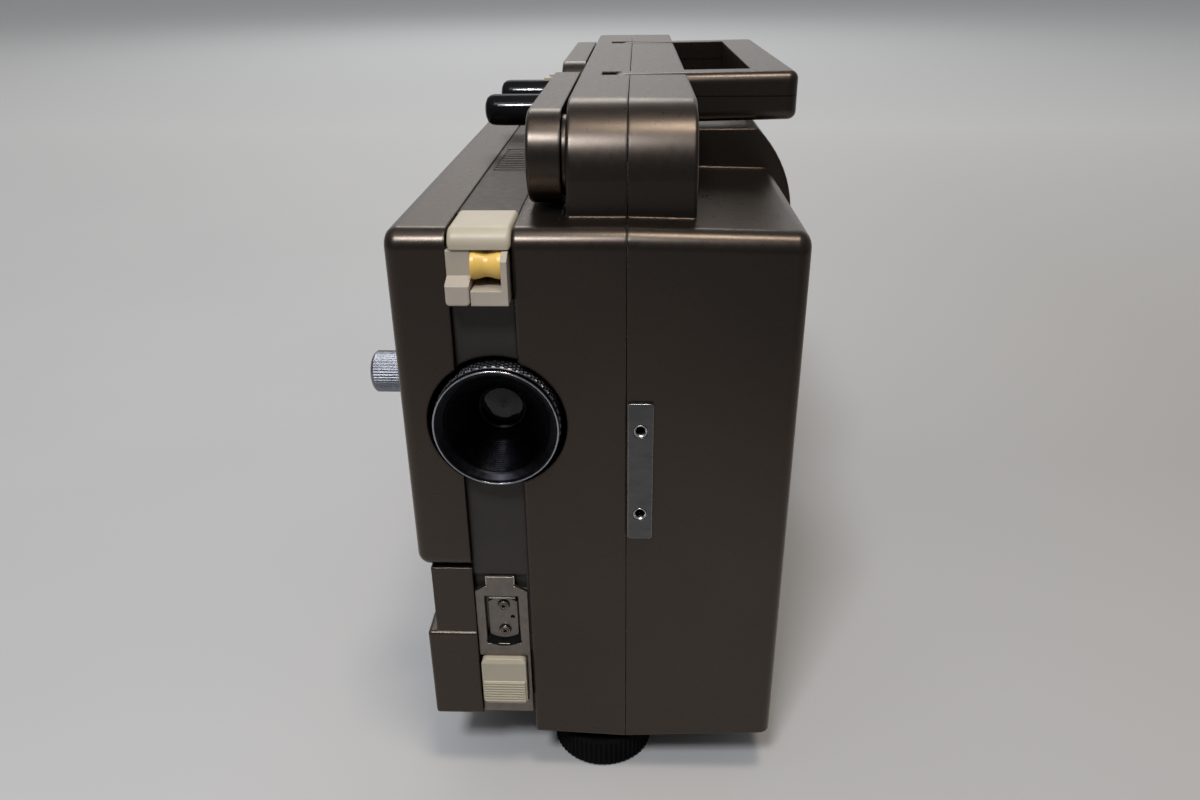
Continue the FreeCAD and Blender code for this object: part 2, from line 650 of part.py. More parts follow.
def right_outer(name, inset):
    """The right half's outside, or the space inside it when inset is its wall."""
    inner = size(inset).value > 0
    seam = size(-1.0) if inner else HALF_GAP
    right = D["right_width"] - inset
    far_right = SHOULDER_RIGHT - inset
    slope = D["right_bottom_rise"] / D["right_width"]
    low = D["body_bottom"] + inset
    front = prism(name + "_front", "Y", [
        (seam, low),
        (right, low + slope * right),
        (right, BODY_TOP - D["right_top_fall"] - inset),
        (seam, BODY_TOP - inset),
    ], (size(inset), BACK - inset))
    if not inner:
        front = rounded(name + "_front_rounded", front,
                        (D["front_top_radius"], dict(along="X", y=0, z=(BODY_TOP - 3, BODY_TOP))),
                        (D["front_side_radius"], dict(along="Z", x=right, y=0)))
    span = (D["shoulder_front"] + inset, BACK - inset)
    join_x = right - 1.0
    shoulder_low = prism(name + "_shoulder_low", "Y", [
        (join_x, low + slope * join_x),
        (far_right, low + slope * far_right),
        (far_right, SHOULDER_ARC_Z),
        (join_x, SHOULDER_ARC_Z),
    ], span)
    arc_box = box(name + "_arc_box", (seam, far_right), span,
                  (SHOULDER_ARC_Z, SHOULDER_TOP - inset))
    arc = rod(name + "_arc", "Y", span, (D["shoulder_arc_right"], SHOULDER_ARC_Z),
              D["shoulder_arc_radius"] - inset)
    shoulder_top = shared(name + "_shoulder_top", arc_box, arc)
    ridge = ridge_half(name + "_ridge", seam, D["ridge_right"] - inset, inset)
    return join(name, front, shoulder_low, shoulder_top, ridge)


def ridge_half(name, low_x, high_x, inset):
    """Half of the ridge with its round nose, or the space inside it."""
    half = block(name + "_block", (low_x, high_x), (D["ridge_front"] + inset, BACK - inset),
                 (BODY_TOP - D["wall"] - 0.5, RIDGE_TOP - inset))
    nose = (D["ridge_nose_radius"] - inset,
            dict(along="X", y=D["ridge_front"] + inset, z=RIDGE_TOP - inset))
    if size(inset).value > 0:
        return rounded(name, half, nose)
    outer_x = high_x if high_x.value > 0 else low_x
    edge = (D["small_radius"], dict(along="Y", x=outer_x, z=RIDGE_TOP))
    return rounded(name, half, nose, edge)


def handle_slots(name, low_x, high_x):
    """The two cross slots that the handle legs lie in, and the bores for the handle's pins."""
    slots = []
    for number, (front, back) in enumerate(LEG_SPANS, start=1):
        slots.append(box("%s%d" % (name, number), (low_x, high_x),
                         (front - D["slot_gap"], back + D["slot_gap"]),
                         (SLOT_FLOOR, RIDGE_TOP + 1)))
        slots.append(rod("%s_pin_bore%d" % (name, number), "Y",
                         (front - D["slot_rib"] - 1, back + D["slot_rib"] + 1),
                         HANDLE_PIVOT, D["handle_pin_radius"]))
    return slots


def slot_housings(name, low_x, high_x):
    """Blocks under the ridge's top that become the walls and floors of the slots."""
    blocks = []
    for number, (front, back) in enumerate(LEG_SPANS, start=1):
        blocks.append(box("%s%d" % (name, number), (low_x, high_x),
                          (front - D["slot_gap"] - D["slot_rib"],
                           back + D["slot_gap"] + D["slot_rib"]),
                          (SLOT_FLOOR - 1.6, RIDGE_TOP - 1)))
    return blocks


def rear_opening(name, low_x, high_x):
    """The opening in the back wall for the connector panel."""
    low = D["back_opening_bottom"]
    return box(name, (low_x, high_x), (BACK - D["wall"] - 1, BACK + 1),
               (low, low + D["back_opening_height"]))


def make_right_shell():
    """Right half shell with its half of the ridge and the wide rear shoulder."""
    outer = right_outer("right_outer", 0)
    doc.recompute()
    front_rim = rounded(
        "right_rimmed", outer,
        (D["small_radius"], dict(x=(D["right_width"] + 1, SHOULDER_RIGHT), y=D["shoulder_front"],
                                 z=(D["body_bottom"] + 10, SHOULDER_TOP - 0.1))))
    inner = right_outer("right_inner", D["wall"])
    tools = [inner, rear_opening("right_rear_opening", -1, D["back_opening_right"])]
    for number, height in enumerate(PLATE_HOLES_Z, start=1):
        tools.append(rod("plate_screw_hole%d" % number, "Y", (-1, D["wall"] + 1),
                         (PLATE_MIDDLE_X, height), D["plate_hole_radius"]))
    slot_half = D["speaker_radius"] - 6
    spacing = D["side_slot_spacing"]
    for number in range(7):
        low = D["speaker_height"] - 1.5 + (number - 3) * spacing
        tools.append(box("speaker_slot%d" % (number + 1),
                         (SHOULDER_RIGHT - D["wall"] - 1, SHOULDER_RIGHT + 1),
                         (D["speaker_back"] - slot_half, D["speaker_back"] + slot_half),
                         (low, low + 3.0)))
    for number in range(8):
        low = MOTOR[1] + 1.0 + (number - 4) * spacing
        tools.append(box("motor_slot%d" % (number + 1),
                         (SHOULDER_RIGHT - D["wall"] - 1, SHOULDER_RIGHT + 1),
                         (D["motor_slots_front"], D["motor_slots_front"] + D["motor_slots_length"]),
                         (low, low + 2.6)))
    hollow = cut("right_hollow", front_rim, *tools)
    posts = slot_housings("right_housing", HALF_GAP, D["ridge_right"] - 1)
    bores = handle_slots("right_slot", -1, D["ridge_right"] + 1)
    for number, (back, height, side) in enumerate(SHELL_SCREWS, start=1):
        posts.append(rod("right_post%d" % number, "X", (HALF_GAP, side - 1),
                         (back, height), D["screw_post_radius"]))
        bores.append(rod("right_bore%d" % number, "X", (-1, side + 1), (back, height),
                         D["screw_radius"] + 0.1))
        bores.append(rod("right_head_bore%d" % number, "X", (side - D["screw_sink"], side + 1),
                         (back, height), D["screw_head_radius"] + 0.2))
    with_posts = join("right_with_posts", hollow, *posts)
    finish(cut("right_shell", with_posts, *bores), "right_shell")


def left_outer(name, inset):
    """The left half's outside, or the space inside it when inset is its wall."""
    inner = size(inset).value > 0
    seam = size(1.0) if inner else -HALF_GAP
    left = -D["left_width"] + inset
    low = D["body_bottom"] + inset
    half = prism(name + "_block", "Y", [
        (seam, low),
        (seam, BODY_TOP - inset),
        (left, BODY_TOP - inset),
        (left, low + D["left_bottom_rise"]),
    ], (size(inset), BACK - inset))
    if not inner:
        half = rounded(name + "_block_rounded", half,
                       (D["front_top_radius"], dict(along="X", y=0, z=BODY_TOP)),
                       (D["small_radius"], dict(along="Z", x=left, y=0)))
    ridge = ridge_half(name + "_ridge", -D["ridge_left"] + inset, seam, inset)
    return join(name, half, ridge)


def make_left_shell():
    """Left half shell: its half of the ridge, the lens cut-out and the handle's ribs."""
    outer = left_outer("left_outer", 0)
    inner = left_outer("left_inner", D["wall"])
    tools = [inner]
    tools.append(box("left_window", (-D["left_width"] - 1, -D["left_width"] + D["wall"] + 1),
                     (8.0, BACK - 19), (D["channel_bottom"] + 6, BODY_TOP - 12.5)))
    tools.append(rear_opening("left_rear_opening", -D["back_opening_left"], 1))
    tools.append(rod("foot_bush_hole", "Z", (0, D["body_bottom"] + 10), FOOT,
                     D["foot_bush_radius"]))
    for number, pivot in enumerate((D["front_arm_pivot"], REAR_PIVOT_Y), start=1):
        tools.append(rod("arm_stud_hole%d" % number, "X",
                         (-D["ridge_left"] - 1, -D["ridge_left"] + D["wall"] + 1),
                         (pivot, ARM_Z), D["arm_stud_radius"]))
    hollow = cut("left_hollow", outer, *tools)
    ribs = slot_housings("left_housing", SLOT_LEFT - 2, -HALF_GAP)
    ribs.append(lens_liner("left_liner", (CHANNEL_RIGHT, -D["ridge_left"])))
    post_left = size(-14.0)
    for number, (back, height, _) in enumerate(SHELL_SCREWS, start=1):
        ribs.append(rod("left_post%d" % number, "X", (post_left, -HALF_GAP), (back, height),
                        D["screw_post_radius"]))
        ribs.append(box("left_post_web%d" % number, (post_left, post_left + 3),
                        (back - 12, back + 12), (height - 1.5, height + 1.5)))
    with_ribs = join("left_with_ribs", hollow, *ribs)
    bores = handle_slots("left_slot", SLOT_LEFT, 5)
    bores.append(rod("left_lens_cutout", "Y", (-1, 60), LENS, D["lens_cutout_radius"]))
    for number, (back, height, _) in enumerate(SHELL_SCREWS, start=1):
        bores.append(rod("left_bore%d" % number, "X", (size(-12.0), 1), (back, height),
                         D["screw_radius"]))
    finish(cut("left_shell", with_ribs, *bores), "left_shell")


def lens_liner(name, across):
    """The part of the tube round the lens that lies between two X positions."""
    tube = rod(name + "_tube", "Y", (1, LINER_BACK), LENS, D["lens_cutout_radius"] + 1.5)
    reach = D["lens_cutout_radius"] + 2
    slab = box(name + "_slab", across, (0, BACK), (LENS_Z - reach, LENS_Z + reach))
    return shared(name, tube, slab)


def make_screws():
    """Shell screws, and the two screws that hold the cutter block."""
    screws = []
    for number, (back, height, side) in enumerate(SHELL_SCREWS, start=1):
        seat = side - D["screw_sink"]
        shank = rod("screw_shank%d" % number, "X", (size(-10.0), seat + 0.5), (back, height),
                    D["screw_radius"])
        head = rod("screw_head%d" % number, "X", (seat, seat + 2.0), (back, height),
                   D["screw_head_radius"])
        slot = box("screw_slot%d" % number, (seat + 1.2, seat + 3), (back - 4, back + 4),
                   (height - 0.4, height + 0.4))
        screws.append(cut("shell_screw%d" % number, join("screw_solid%d" % number, shank, head),
                          slot))
    low = D["cutter_screw_height"]
    front = D["channel_setback"]
    for number, height in enumerate((low + D["cutter_screw_spacing"], low), start=1):
        screws.append(rod("cutter_screw%d" % number, "Y", (front - 0.6, front + 0.5),
                          (CHANNEL_RIGHT - 9.9, height), D["cutter_screw_radius"]))
    finish(group("screws", *screws), "screws")


def make_front_plate():
    """Bright plate with two countersunk holes beside the seam."""
    left = D["plate_left_edge"]
    x = (left, left + D["plate_width"])
    z = (D["plate_bottom"], D["plate_bottom"] + D["plate_height"])
    blank = block("front_plate_blank", x, (-D["plate_thickness"], 0), z)
    corners = [(D["plate_corner_radius"], dict(along="Y", x=side, z=end)) for side in x for end in z]
    plate = rounded("front_plate_rounded", blank, *corners)
    tools = []
    for number, height in enumerate(PLATE_HOLES_Z, start=1):
        tools.append(rod("plate_hole%d" % number, "Y", (-D["plate_thickness"] - 1, 1),
                         (PLATE_MIDDLE_X, height), D["plate_hole_radius"]))
        tools.append(turned("plate_sink%d" % number, "Y", (PLATE_MIDDLE_X, height), [
            (-D["plate_thickness"] - 0.2, 0),
            (-D["plate_thickness"] - 0.2, D["plate_hole_radius"] + 1.2),
            (D["plate_sink_depth"] - D["plate_thickness"], D["plate_hole_radius"]),
            (D["plate_sink_depth"] - D["plate_thickness"], 0),
        ]))
    finish(cut("front_plate", plate, *tools), "front_plate")


def make_rear_panel():
    """Connector panel inside the back wall, with the power inlet and sockets."""
    over = D["panel_overlap"]
    low = D["back_opening_bottom"]
    y = (BACK - D["wall"] - D["panel_thickness"], BACK - D["wall"])
    blank = box("rear_panel_blank", (-D["back_opening_left"] - over, D["back_opening_right"] + over),
                y, (low - over, low + D["back_opening_height"] + over))
    inlet_x = (D["power_left"], D["power_left"] + D["power_width"])
    inlet_z = (D["power_bottom"], D["power_bottom"] + D["power_height"])
    through = (y[0] - 1, y[1] + 1)
    tools = [box("inlet_hole", inlet_x, through, inlet_z)]
    sockets = []
    outer = D["socket_radius"]
    for number in range(3):
        centre = (-D["socket_left"], D["socket_bottom"] + number * D["socket_spacing"])
        tools.append(rod("socket_hole%d" % number, "Y", through, centre, outer))
        sockets.append(turned("socket%d" % (number + 1), "Y", centre, [
            (y[0] - 8, 0), (y[0] - 8, outer), (y[1], outer), (y[1], outer + 2.0),
            (y[1] + 1.6, outer + 1.4), (y[1] + 1.6, outer - 1.4), (y[1] - 1.2, outer - 1.4),
            (y[1] - 1.2, 0)]))
    for number in range(9):
        start = D["panel_slots_bottom"] + number * 8.0
        tools.append(box("panel_slot%d" % number, (inlet_x[0], inlet_x[1] + 5), through,
                         (start, start + 3.4)))
    finish(cut("rear_panel", blank, *tools), "rear_panel")
    finish(group("output_sockets", *sockets), "output_sockets")
    shell = box("inlet_block", inlet_x, (y[0] - 14, y[1]), inlet_z)
    flange = box("inlet_flange", (inlet_x[0] - 3, inlet_x[1] + 3), (y[1], y[1] + 2),
                 (inlet_z[0] - 2, inlet_z[1] + 2))
    recess = box("inlet_recess", (inlet_x[0] + 3, inlet_x[1] - 3), (y[1] - 10, y[1] + 3),
                 (inlet_z[0] + 3, inlet_z[1] - 3))
    body = cut("inlet_shell", join("inlet_solid", shell, flange), recess)
    pins = [rod("inlet_pin%d" % number, "Y", (y[1] - 11, y[1] - 2),
                (inlet_x[0] + 7 + number * 13.0, inlet_z[0] + D["power_height"] / 2),
                D["power_pin_radius"]) for number in range(2)]
    finish(join("power_inlet", body, *pins), "power_inlet")


def make_mechanism_frame():
    """Cast tray that carries the film path, with the fascia seen between the covers."""
    front = D["channel_setback"]
    wall = D["frame_wall"]
    blank = box("frame_blank", (CHANNEL_LEFT, CHANNEL_RIGHT), (front, FRAME_BACK_Y),
                (D["channel_bottom"], FRAME_TOP))
    tools = [
        box("frame_hollow", (CHANNEL_LEFT - 1, CARRIER_LEFT),
            (front + wall, FRAME_BACK_Y - wall), (D["channel_bottom"] + wall, FRAME_TOP - wall)),
        box("frame_notch", (CHANNEL_LEFT - 1, CHANNEL_RIGHT + 1),
            (front - 1, D["inlet_notch_depth"]), (NOTCH_BOTTOM, FRAME_TOP + 1)),
        box("frame_lens_window", (CARRIER_LEFT, CHANNEL_RIGHT + 1),
            (FASCIA_BACK, LENS_WINDOW_BACK),
            (LENS_Z - LENS_WINDOW_REACH, LENS_Z + LENS_WINDOW_REACH)),
        box("frame_cutter_window", (CUTTER_LEFT, CUTTER_RIGHT), (front - 1, FASCIA_BACK + 1),
            (D["cutter_window_bottom"], CUTTER_HIGH)),
        box("frame_tab_recess", (CHANNEL_LEFT - 1, CHANNEL_RIGHT - 0.9),
            (front - 1, front + D["cutter_recess_depth"]),
            (CUTTER_SHOULDER - 0.5, CUTTER_TAB_FOOT + D["cutter_tab_height"] + 0.3)),
        box("frame_button_opening", (CHANNEL_LEFT - 1, BUTTON_RIGHT + D["button_clearance"]),
            (front - 1, FASCIA_BACK + D["button_travel"] + 0.5),
            (D["button_bottom"] - 0.5, BUTTON_TOP + 0.5)),
        box("frame_edge_groove", (CHANNEL_RIGHT - 0.8, CHANNEL_RIGHT + 1),
            (front - 1, front + 1.5), (D["button_bottom"] + 1, BUTTON_TOP + 2)),
    ]
    for number in range(10):
        start = D["vent_front"] + number * D["vent_spacing"]
        tools.append(box("vent%d" % (number + 1), (CHANNEL_LEFT + 2.5, CARRIER_LEFT - 1.5),
                         (start, start + D["vent_width"]),
                         (FRAME_TOP - wall - 1, FRAME_TOP + 1)))
    for number, centre in enumerate(SPROCKETS + [CAPSTAN], start=1):
        tools.append(rod("frame_shaft_hole%d" % number, "X", (CARRIER_LEFT - 1, CHANNEL_RIGHT + 1),
                         centre, 2.0 + D["running_gap"]))
    tray = cut("frame_tray", blank, *tools)
    seat = box("spring_seat", (CHANNEL_LEFT + 2.5, CARRIER_LEFT + 0.5),
               (SPRING_BACK, SPRING_BACK + 2), (D["button_bottom"] + 2.5, BUTTON_TOP - 2.5))
    hole = rod("button_stem_hole", "Y", (SPRING_BACK - 1, SPRING_BACK + 3), BUTTON_STEM,
               2.0 + 2 * D["running_gap"])
    liner = lens_liner("frame_liner", (CHANNEL_LEFT, CARRIER_LEFT))
    opening = rod("frame_lens_opening", "Y", (front - 3, LINER_BACK + 1), LENS,
                  D["lens_cutout_radius"])
    front_trim = box("frame_liner_trim", (CHANNEL_LEFT - 1, CHANNEL_RIGHT + 1), (-1, front),
                     (LENS_Z - 40, LENS_Z + 40))
    finish(cut("mechanism_frame", join("frame_with_seat", tray, seat, liner), hole, opening,
               front_trim), "mechanism_frame")


def cover(name, y, z, rounds):
    """A hollow side cover, open towards the film channel."""
    wall = D["door_wall"]
    blank = block(name + "_blank", (COVER_LEFT, COVER_RIGHT), y, z)
    solid = rounded(name + "_rounded", blank, *rounds)
    hollow = box(name + "_hollow", (COVER_LEFT + wall, COVER_RIGHT + 1),
                 (y[0] + wall, y[1] - wall), (z[0] + wall, z[1] - wall))
    return cut(name + "_hollowed", solid, hollow)


def make_covers():
    """Film door, rear side cover and the operator base with its waist."""
    z = (D["door_bottom"], BODY_TOP)
    front_y = (size(0.0), D["door_length"])
    # The front corner's rounding runs on over the top edge by itself.
    low_edge = (D["door_bottom_radius"], dict(along="Y", x=COVER_LEFT, z=D["door_bottom"]))
    edges = [
        (D["front_top_radius"], dict(along="X", y=0, z=BODY_TOP)),
        (D["front_side_radius"], dict(along="Z", x=COVER_LEFT, y=0)),
        low_edge,
    ]
    lens_hole = rod("door_lens_cutout", "Y", (-1, 30), LENS, D["lens_cutout_radius"])
    knob_hole = rod("door_knob_hole", "X", (COVER_LEFT - 1, COVER_LEFT + 5), FOCUS,
                    D["focus_knob_radius"] + 1)
    door = join("door_with_liner", cover("door", front_y, z, edges),
                lens_liner("door_liner", (COVER_LEFT + 1, COVER_RIGHT)))
    finish(cut("film_door", door, lens_hole, knob_hole), "film_door")
    rear_y = (D["door_length"] + D["door_gap"], FRAME_BACK_Y)
    rear_edges = [
        (D["front_side_radius"], dict(along="Y", x=COVER_LEFT, z=BODY_TOP)),
        low_edge,
    ]
    slots = []
    for number in range(8):
        low = D["cover_slots_bottom"] + number * D["cover_slot_spacing"]
        slots.append(box("side_slot%d" % number, (COVER_LEFT - 1, COVER_LEFT + 4),
                         (rear_y[0] + 26.2, rear_y[1] - 22), (low, low + 2.2)))
    finish(cut("rear_side_cover", cover("rear_cover", rear_y, z, rear_edges), *slots),
           "rear_side_cover")
    wall = D["door_wall"]
    bottom = D["channel_bottom"]
    left = CHANNEL_LEFT - D["base_width"]
    waist_left = CHANNEL_LEFT - D["waist_width"]
    top = D["door_bottom"] - D["cover_gap"]
    ledge = rounded("base_ledge", block("base_block", (left, COVER_RIGHT), (0, FRAME_BACK_Y),
                                      (bottom, D["base_ledge_top"])),
                    (D["small_radius"], dict(along="Y", x=left, z=bottom)),
                    (D["small_radius"], dict(along="Z", x=left, y=0)),
                    (D["small_radius"], dict(along="X", y=0, z=D["base_ledge_top"])))
    waist = box("waist_block", (waist_left, COVER_RIGHT), (D["waist_setback"], FRAME_BACK_Y),
                (D["base_ledge_top"] - 1, top))
    tools = [
        box("base_hollow", (left + wall, COVER_RIGHT + 1), (wall, FRAME_BACK_Y - wall),
            (bottom + wall, D["base_ledge_top"] - wall)),
        box("waist_hollow", (waist_left + wall, COVER_RIGHT + 1),
            (D["waist_setback"] + wall, FRAME_BACK_Y - wall),
            (D["base_ledge_top"] - wall - 1, top - wall)),
    ]
    hollow = cut("base_hollowed", join("base_solid", ledge, waist), *tools)
    bosses = []
    bores = []
    for number, (centre, _) in enumerate(KNOBS, start=1):
        bosses.append(rod("base_boss%d" % number, "X", (left + wall - 1, left + KNOB_REACH - 0.5),
                          centre, D["knob_shaft_radius"] + 4))
        bores.append(rod("base_shaft_hole%d" % number, "X", (left - 1, left + KNOB_REACH), centre,
                         D["knob_shaft_radius"] + D["running_gap"]))
    finish(cut("operator_base", join("base_with_bosses", hollow, *bosses), *bores),
           "operator_base")


def make_film_inlet():
    """Cream film inlet: cap, guide block, roller bracket, pin and roller."""
    width = (CHANNEL_LEFT + 0.7, CHANNEL_RIGHT)
    blank = block("inlet_cap_blank", width, (size(-0.5), D["inlet_notch_depth"]),
                  (BODY_TOP - 5.7, BODY_TOP + 0.5))
    finish(rounded("inlet_cap", blank,
                   (D["inlet_cap_front_radius"], dict(along="X", y=-0.5, z=BODY_TOP + 0.5)),
                   (D["inlet_cap_side_radius"], dict(x=width[0])),
                   (D["inlet_cap_side_radius"], dict(x=width[1]))), "inlet_cap")
    axis = D["roller_height"]
    low = axis - D["guide_drop"]
    top = axis + D["guide_rise"]
    step = CHANNEL_LEFT + D["guide_width"]
    right = CHANNEL_RIGHT - 0.9
    back = size(10.0)
    guide = prism("guide_block_blank", "X", [
        (back + 2, low), (-GUIDE_PROUD, low), (-GUIDE_PROUD, axis - D["guide_step_drop"]),
        (size(0.0), axis - D["guide_slope_drop"]), (size(0.0), top + 0.2), (back + 2, top + 0.2),
    ], (CHANNEL_LEFT + 0.1, step))
    corners = [(D["guide_corner_radius"], dict(along="Y", x=side, z=low))
               for side in (CHANNEL_LEFT + 0.1, step)]
    # The rounding of one upright front edge runs on along the bottom to the other one.
    soft_guide = rounded("guide_block_soft", guide, *corners,
                         (D["guide_edge_radius"], dict(along="Z", x=step, y=-GUIDE_PROUD)))
    pin_bore = rod("guide_pin_bore", "X", (step - 2.0, step + 1), ROLLER, D["roller_pin_radius"])
    finish(cut("guide_block", soft_guide, pin_bore), "guide_block")
    start = step + D["bracket_gap"]
    front = -D["bracket_proud"]
    bar_top = axis - D["bracket_bar_drop"]
    bar = box("bracket_bar", (start, right), (front, back), (low, bar_top))
    upright = prism("bracket_upright", "X", [
        (back, low), (front, low), (front, axis + D["bracket_slope_rise"]), (front + 3.4, top),
        (back, top),
    ], (right - 1.9, right))
    rear = box("bracket_back", (start, CHANNEL_RIGHT), (back, back + 2), (low, top))
    opening = box("bracket_opening", (start + 1.2, right - 2.6), (back - 1, back + 3),
                  (bar_top + 0.3, top - 1.2))
    bracket = cut("bracket_open", join("bracket_solid", bar, upright, rear), opening)
    right_bore = rod("bracket_pin_bore", "X", (right - 2.5, right - 0.8), ROLLER,
                     D["roller_pin_radius"])
    finish(cut("roller_bracket", bracket, right_bore), "roller_bracket")
    finish(rod("roller_pin", "X", (step - 2.0, right - 0.8), ROLLER, D["roller_pin_radius"]),
           "roller_pin")
    start = step + 0.15
    end = right - 2.05
    middle = (start + end) / 2
    rim = D["roller_radius"]
    waist = D["roller_waist_radius"]
    bore = D["roller_pin_radius"] + D["running_gap"]
    finish(turned("guide_roller", "X", ROLLER, [
        (start, bore), (start, rim), (start + 1.1, rim), (middle - 1.6, waist + 0.25),
        (middle - 0.6, waist), (middle + 0.6, waist), (middle + 1.6, waist + 0.25),
        (end - 1.1, rim), (end, rim), (end, bore)]), "guide_roller")


def make_cutter():
    """Film cutter under the lens: window plate with its tab, and the cutter block."""
    left = CUTTER_LEFT
    right = CUTTER_RIGHT
    low = D["cutter_window_bottom"]
    front = D["channel_setback"]
    y = (front - D["cutter_plate_thickness"], front)
    plate_right = CHANNEL_RIGHT - 0.9
    plate_left = plate_right - D["cutter_plate_width"]
    tab_left = plate_left + 4.4
    tab_right = tab_left + D["cutter_tab_width"]
    tab_top = CUTTER_TAB_FOOT + D["cutter_tab_height"]
    bottom = D["channel_bottom"] + 0.4
    clear = D["button_clearance"]
    plate = prism("cutter_plate_blank", "Y", [
        (plate_left, bottom), (plate_right, bottom), (plate_right, CUTTER_SHOULDER),
        (tab_right + 0.6, CUTTER_TAB_FOOT), (tab_right, CUTTER_TAB_FOOT), (tab_right, tab_top),
        (tab_left, tab_top), (tab_left, CUTTER_TAB_FOOT), (tab_left - 0.6, CUTTER_TAB_FOOT),
        (plate_left, CUTTER_SHOULDER),
    ], y)
    window = box("cutter_plate_window", (left, right), (y[0] - 1, y[1] + 1), (low, CUTTER_HIGH))
    opening = box("cutter_plate_button", (plate_left - 1, BUTTON_RIGHT + clear),
                  (y[0] - 1, y[1] + 1), (D["button_bottom"] - clear, BUTTON_TOP + clear))
    finish(cut("cutter_plate", plate, window, opening), "cutter_plate")
    face = front + 0.5
    nose_low = low + 1.4
    nose_radius = D["cutter_nose_radius"]
    nose_y = (face, FASCIA_BACK + 1)
    nose_bar = box("cutter_nose_bar", (left + 1.0, right - 1.0), nose_y,
                   (nose_low, CUTTER_HIGH - 0.8))
    nose_end = rod("cutter_nose_end", "Y", nose_y, ((left + right) / 2, nose_low + nose_radius),
                   nose_radius)
    flange = box("cutter_flange", (left - 1.5, CARRIER_LEFT), (FASCIA_BACK, FASCIA_BACK + 3),
                 (low - 1.5, CUTTER_HIGH + 1.5))
    hole = rod("cutter_hole", "Y", (face - 1, face + 1.5), (right - 2.9, low + 11.0), 0.8)
    solid = join("cutter_solid", shared("cutter_nose", nose_bar, nose_end), flange)
    finish(cut("cutter_block", solid, hole), "cutter_block")


def make_button():
    """Cream push button with thumb ridges, its stem and its return spring."""
    left = BUTTON_LEFT
    right = BUTTON_RIGHT
    low = D["button_bottom"]
    high = BUTTON_TOP
    front = -D["button_proud"]
    bevel = D["button_bevel"]
    face = block("button_face", (left, right), (front, FASCIA_BACK), (low, high))
    soft = rounded("button_soft", face,
                   (2.0, dict(along="Y", x=left, z=high)), (2.0, dict(along="Y", x=right, z=high)),
                   (2.0, dict(along="Y", x=left, z=low)), (2.0, dict(along="Y", x=right, z=low)))
    top_bevel = prism("button_top_bevel", "X", [
        (front - 1, high + 1), (front - 1, high - bevel), (front, high - bevel),
        (front + bevel / 2, high), (front + bevel / 2, high + 1),
    ], (left - 1, right + 1))
    step = box("button_step", (left + 0.5, right - 0.5), (front - 0.35, front + 0.5),
               (low + 0.8, low + D["button_ridges_height"]))
    ridges = []
    for number in range(8):
        start = low + 1.1 + number * D["button_ridge_spacing"]
        ridges.append(box("button_ridge%d" % number, (left + 0.6, right - 0.6),
                          (front - 0.55, front + 0.5), (start, start + 0.6)))
    neck = box("button_neck", (left + 1, CARRIER_LEFT - 0.8), (FASCIA_BACK - 1, FASCIA_BACK + 1),
               (low + 1, high - 1))
    stop = box("button_stop", (left - 0.4, CARRIER_LEFT - 0.3),
               (FASCIA_BACK + 0.2, FASCIA_BACK + 1.8), (low - 2.2, high + 2.2))
    stem = rod("button_stem", "Y", (FASCIA_BACK + 1, SPRING_BACK + 1), BUTTON_STEM, 2.0)
    bevelled = cut("button_bevelled", soft, top_bevel)
    finish(join("push_button", bevelled, step, neck, stop, stem, *ridges), "push_button")
    finish(coil_spring("button_spring", BUTTON_STEM, (FASCIA_BACK + 1.8, SPRING_BACK), 3.4, 0.5,
                       6), "button_spring")


def coil_spring(name, centre, span, radius, wire, turns):
    """A coil spring along Y: one wire on arcs of a quarter turn."""
    start, end = size(span[0]).value + wire, size(span[1]).value - wire
    middle_x, middle_z = size(centre[0]).value, size(centre[1]).value
    rise = (end - start) / (turns * 4)

    def point(quarters):
        angle = quarters * math.pi / 2
        return FreeCAD.Vector(middle_x + radius * math.cos(angle), start + rise * quarters,
                              middle_z + radius * math.sin(angle))

    samples = [point(step / 8) for step in range(turns * 32 + 1)]
    least = min((one - other).Length for number, one in enumerate(samples)
                for other in samples[number + 16:])
    print("%s: least gap between turns %.2f mm" % (name, least - 2 * wire))
    edges = []
    for quarter in range(turns * 4):
        arc = Part.Arc(point(quarter), point(quarter + 0.5), point(quarter + 1))
        edges.append(arc.toShape())
    path = Part.Wire(edges)
    tangent = edges[0].tangentAt(edges[0].FirstParameter)
    section = Part.Wire([Part.Circle(point(0), tangent, wire).toShape()])
    spring = doc.addObject("Part::Feature", name)
    spring.Shape = path.makePipeShell([section], True, False)
    return spring


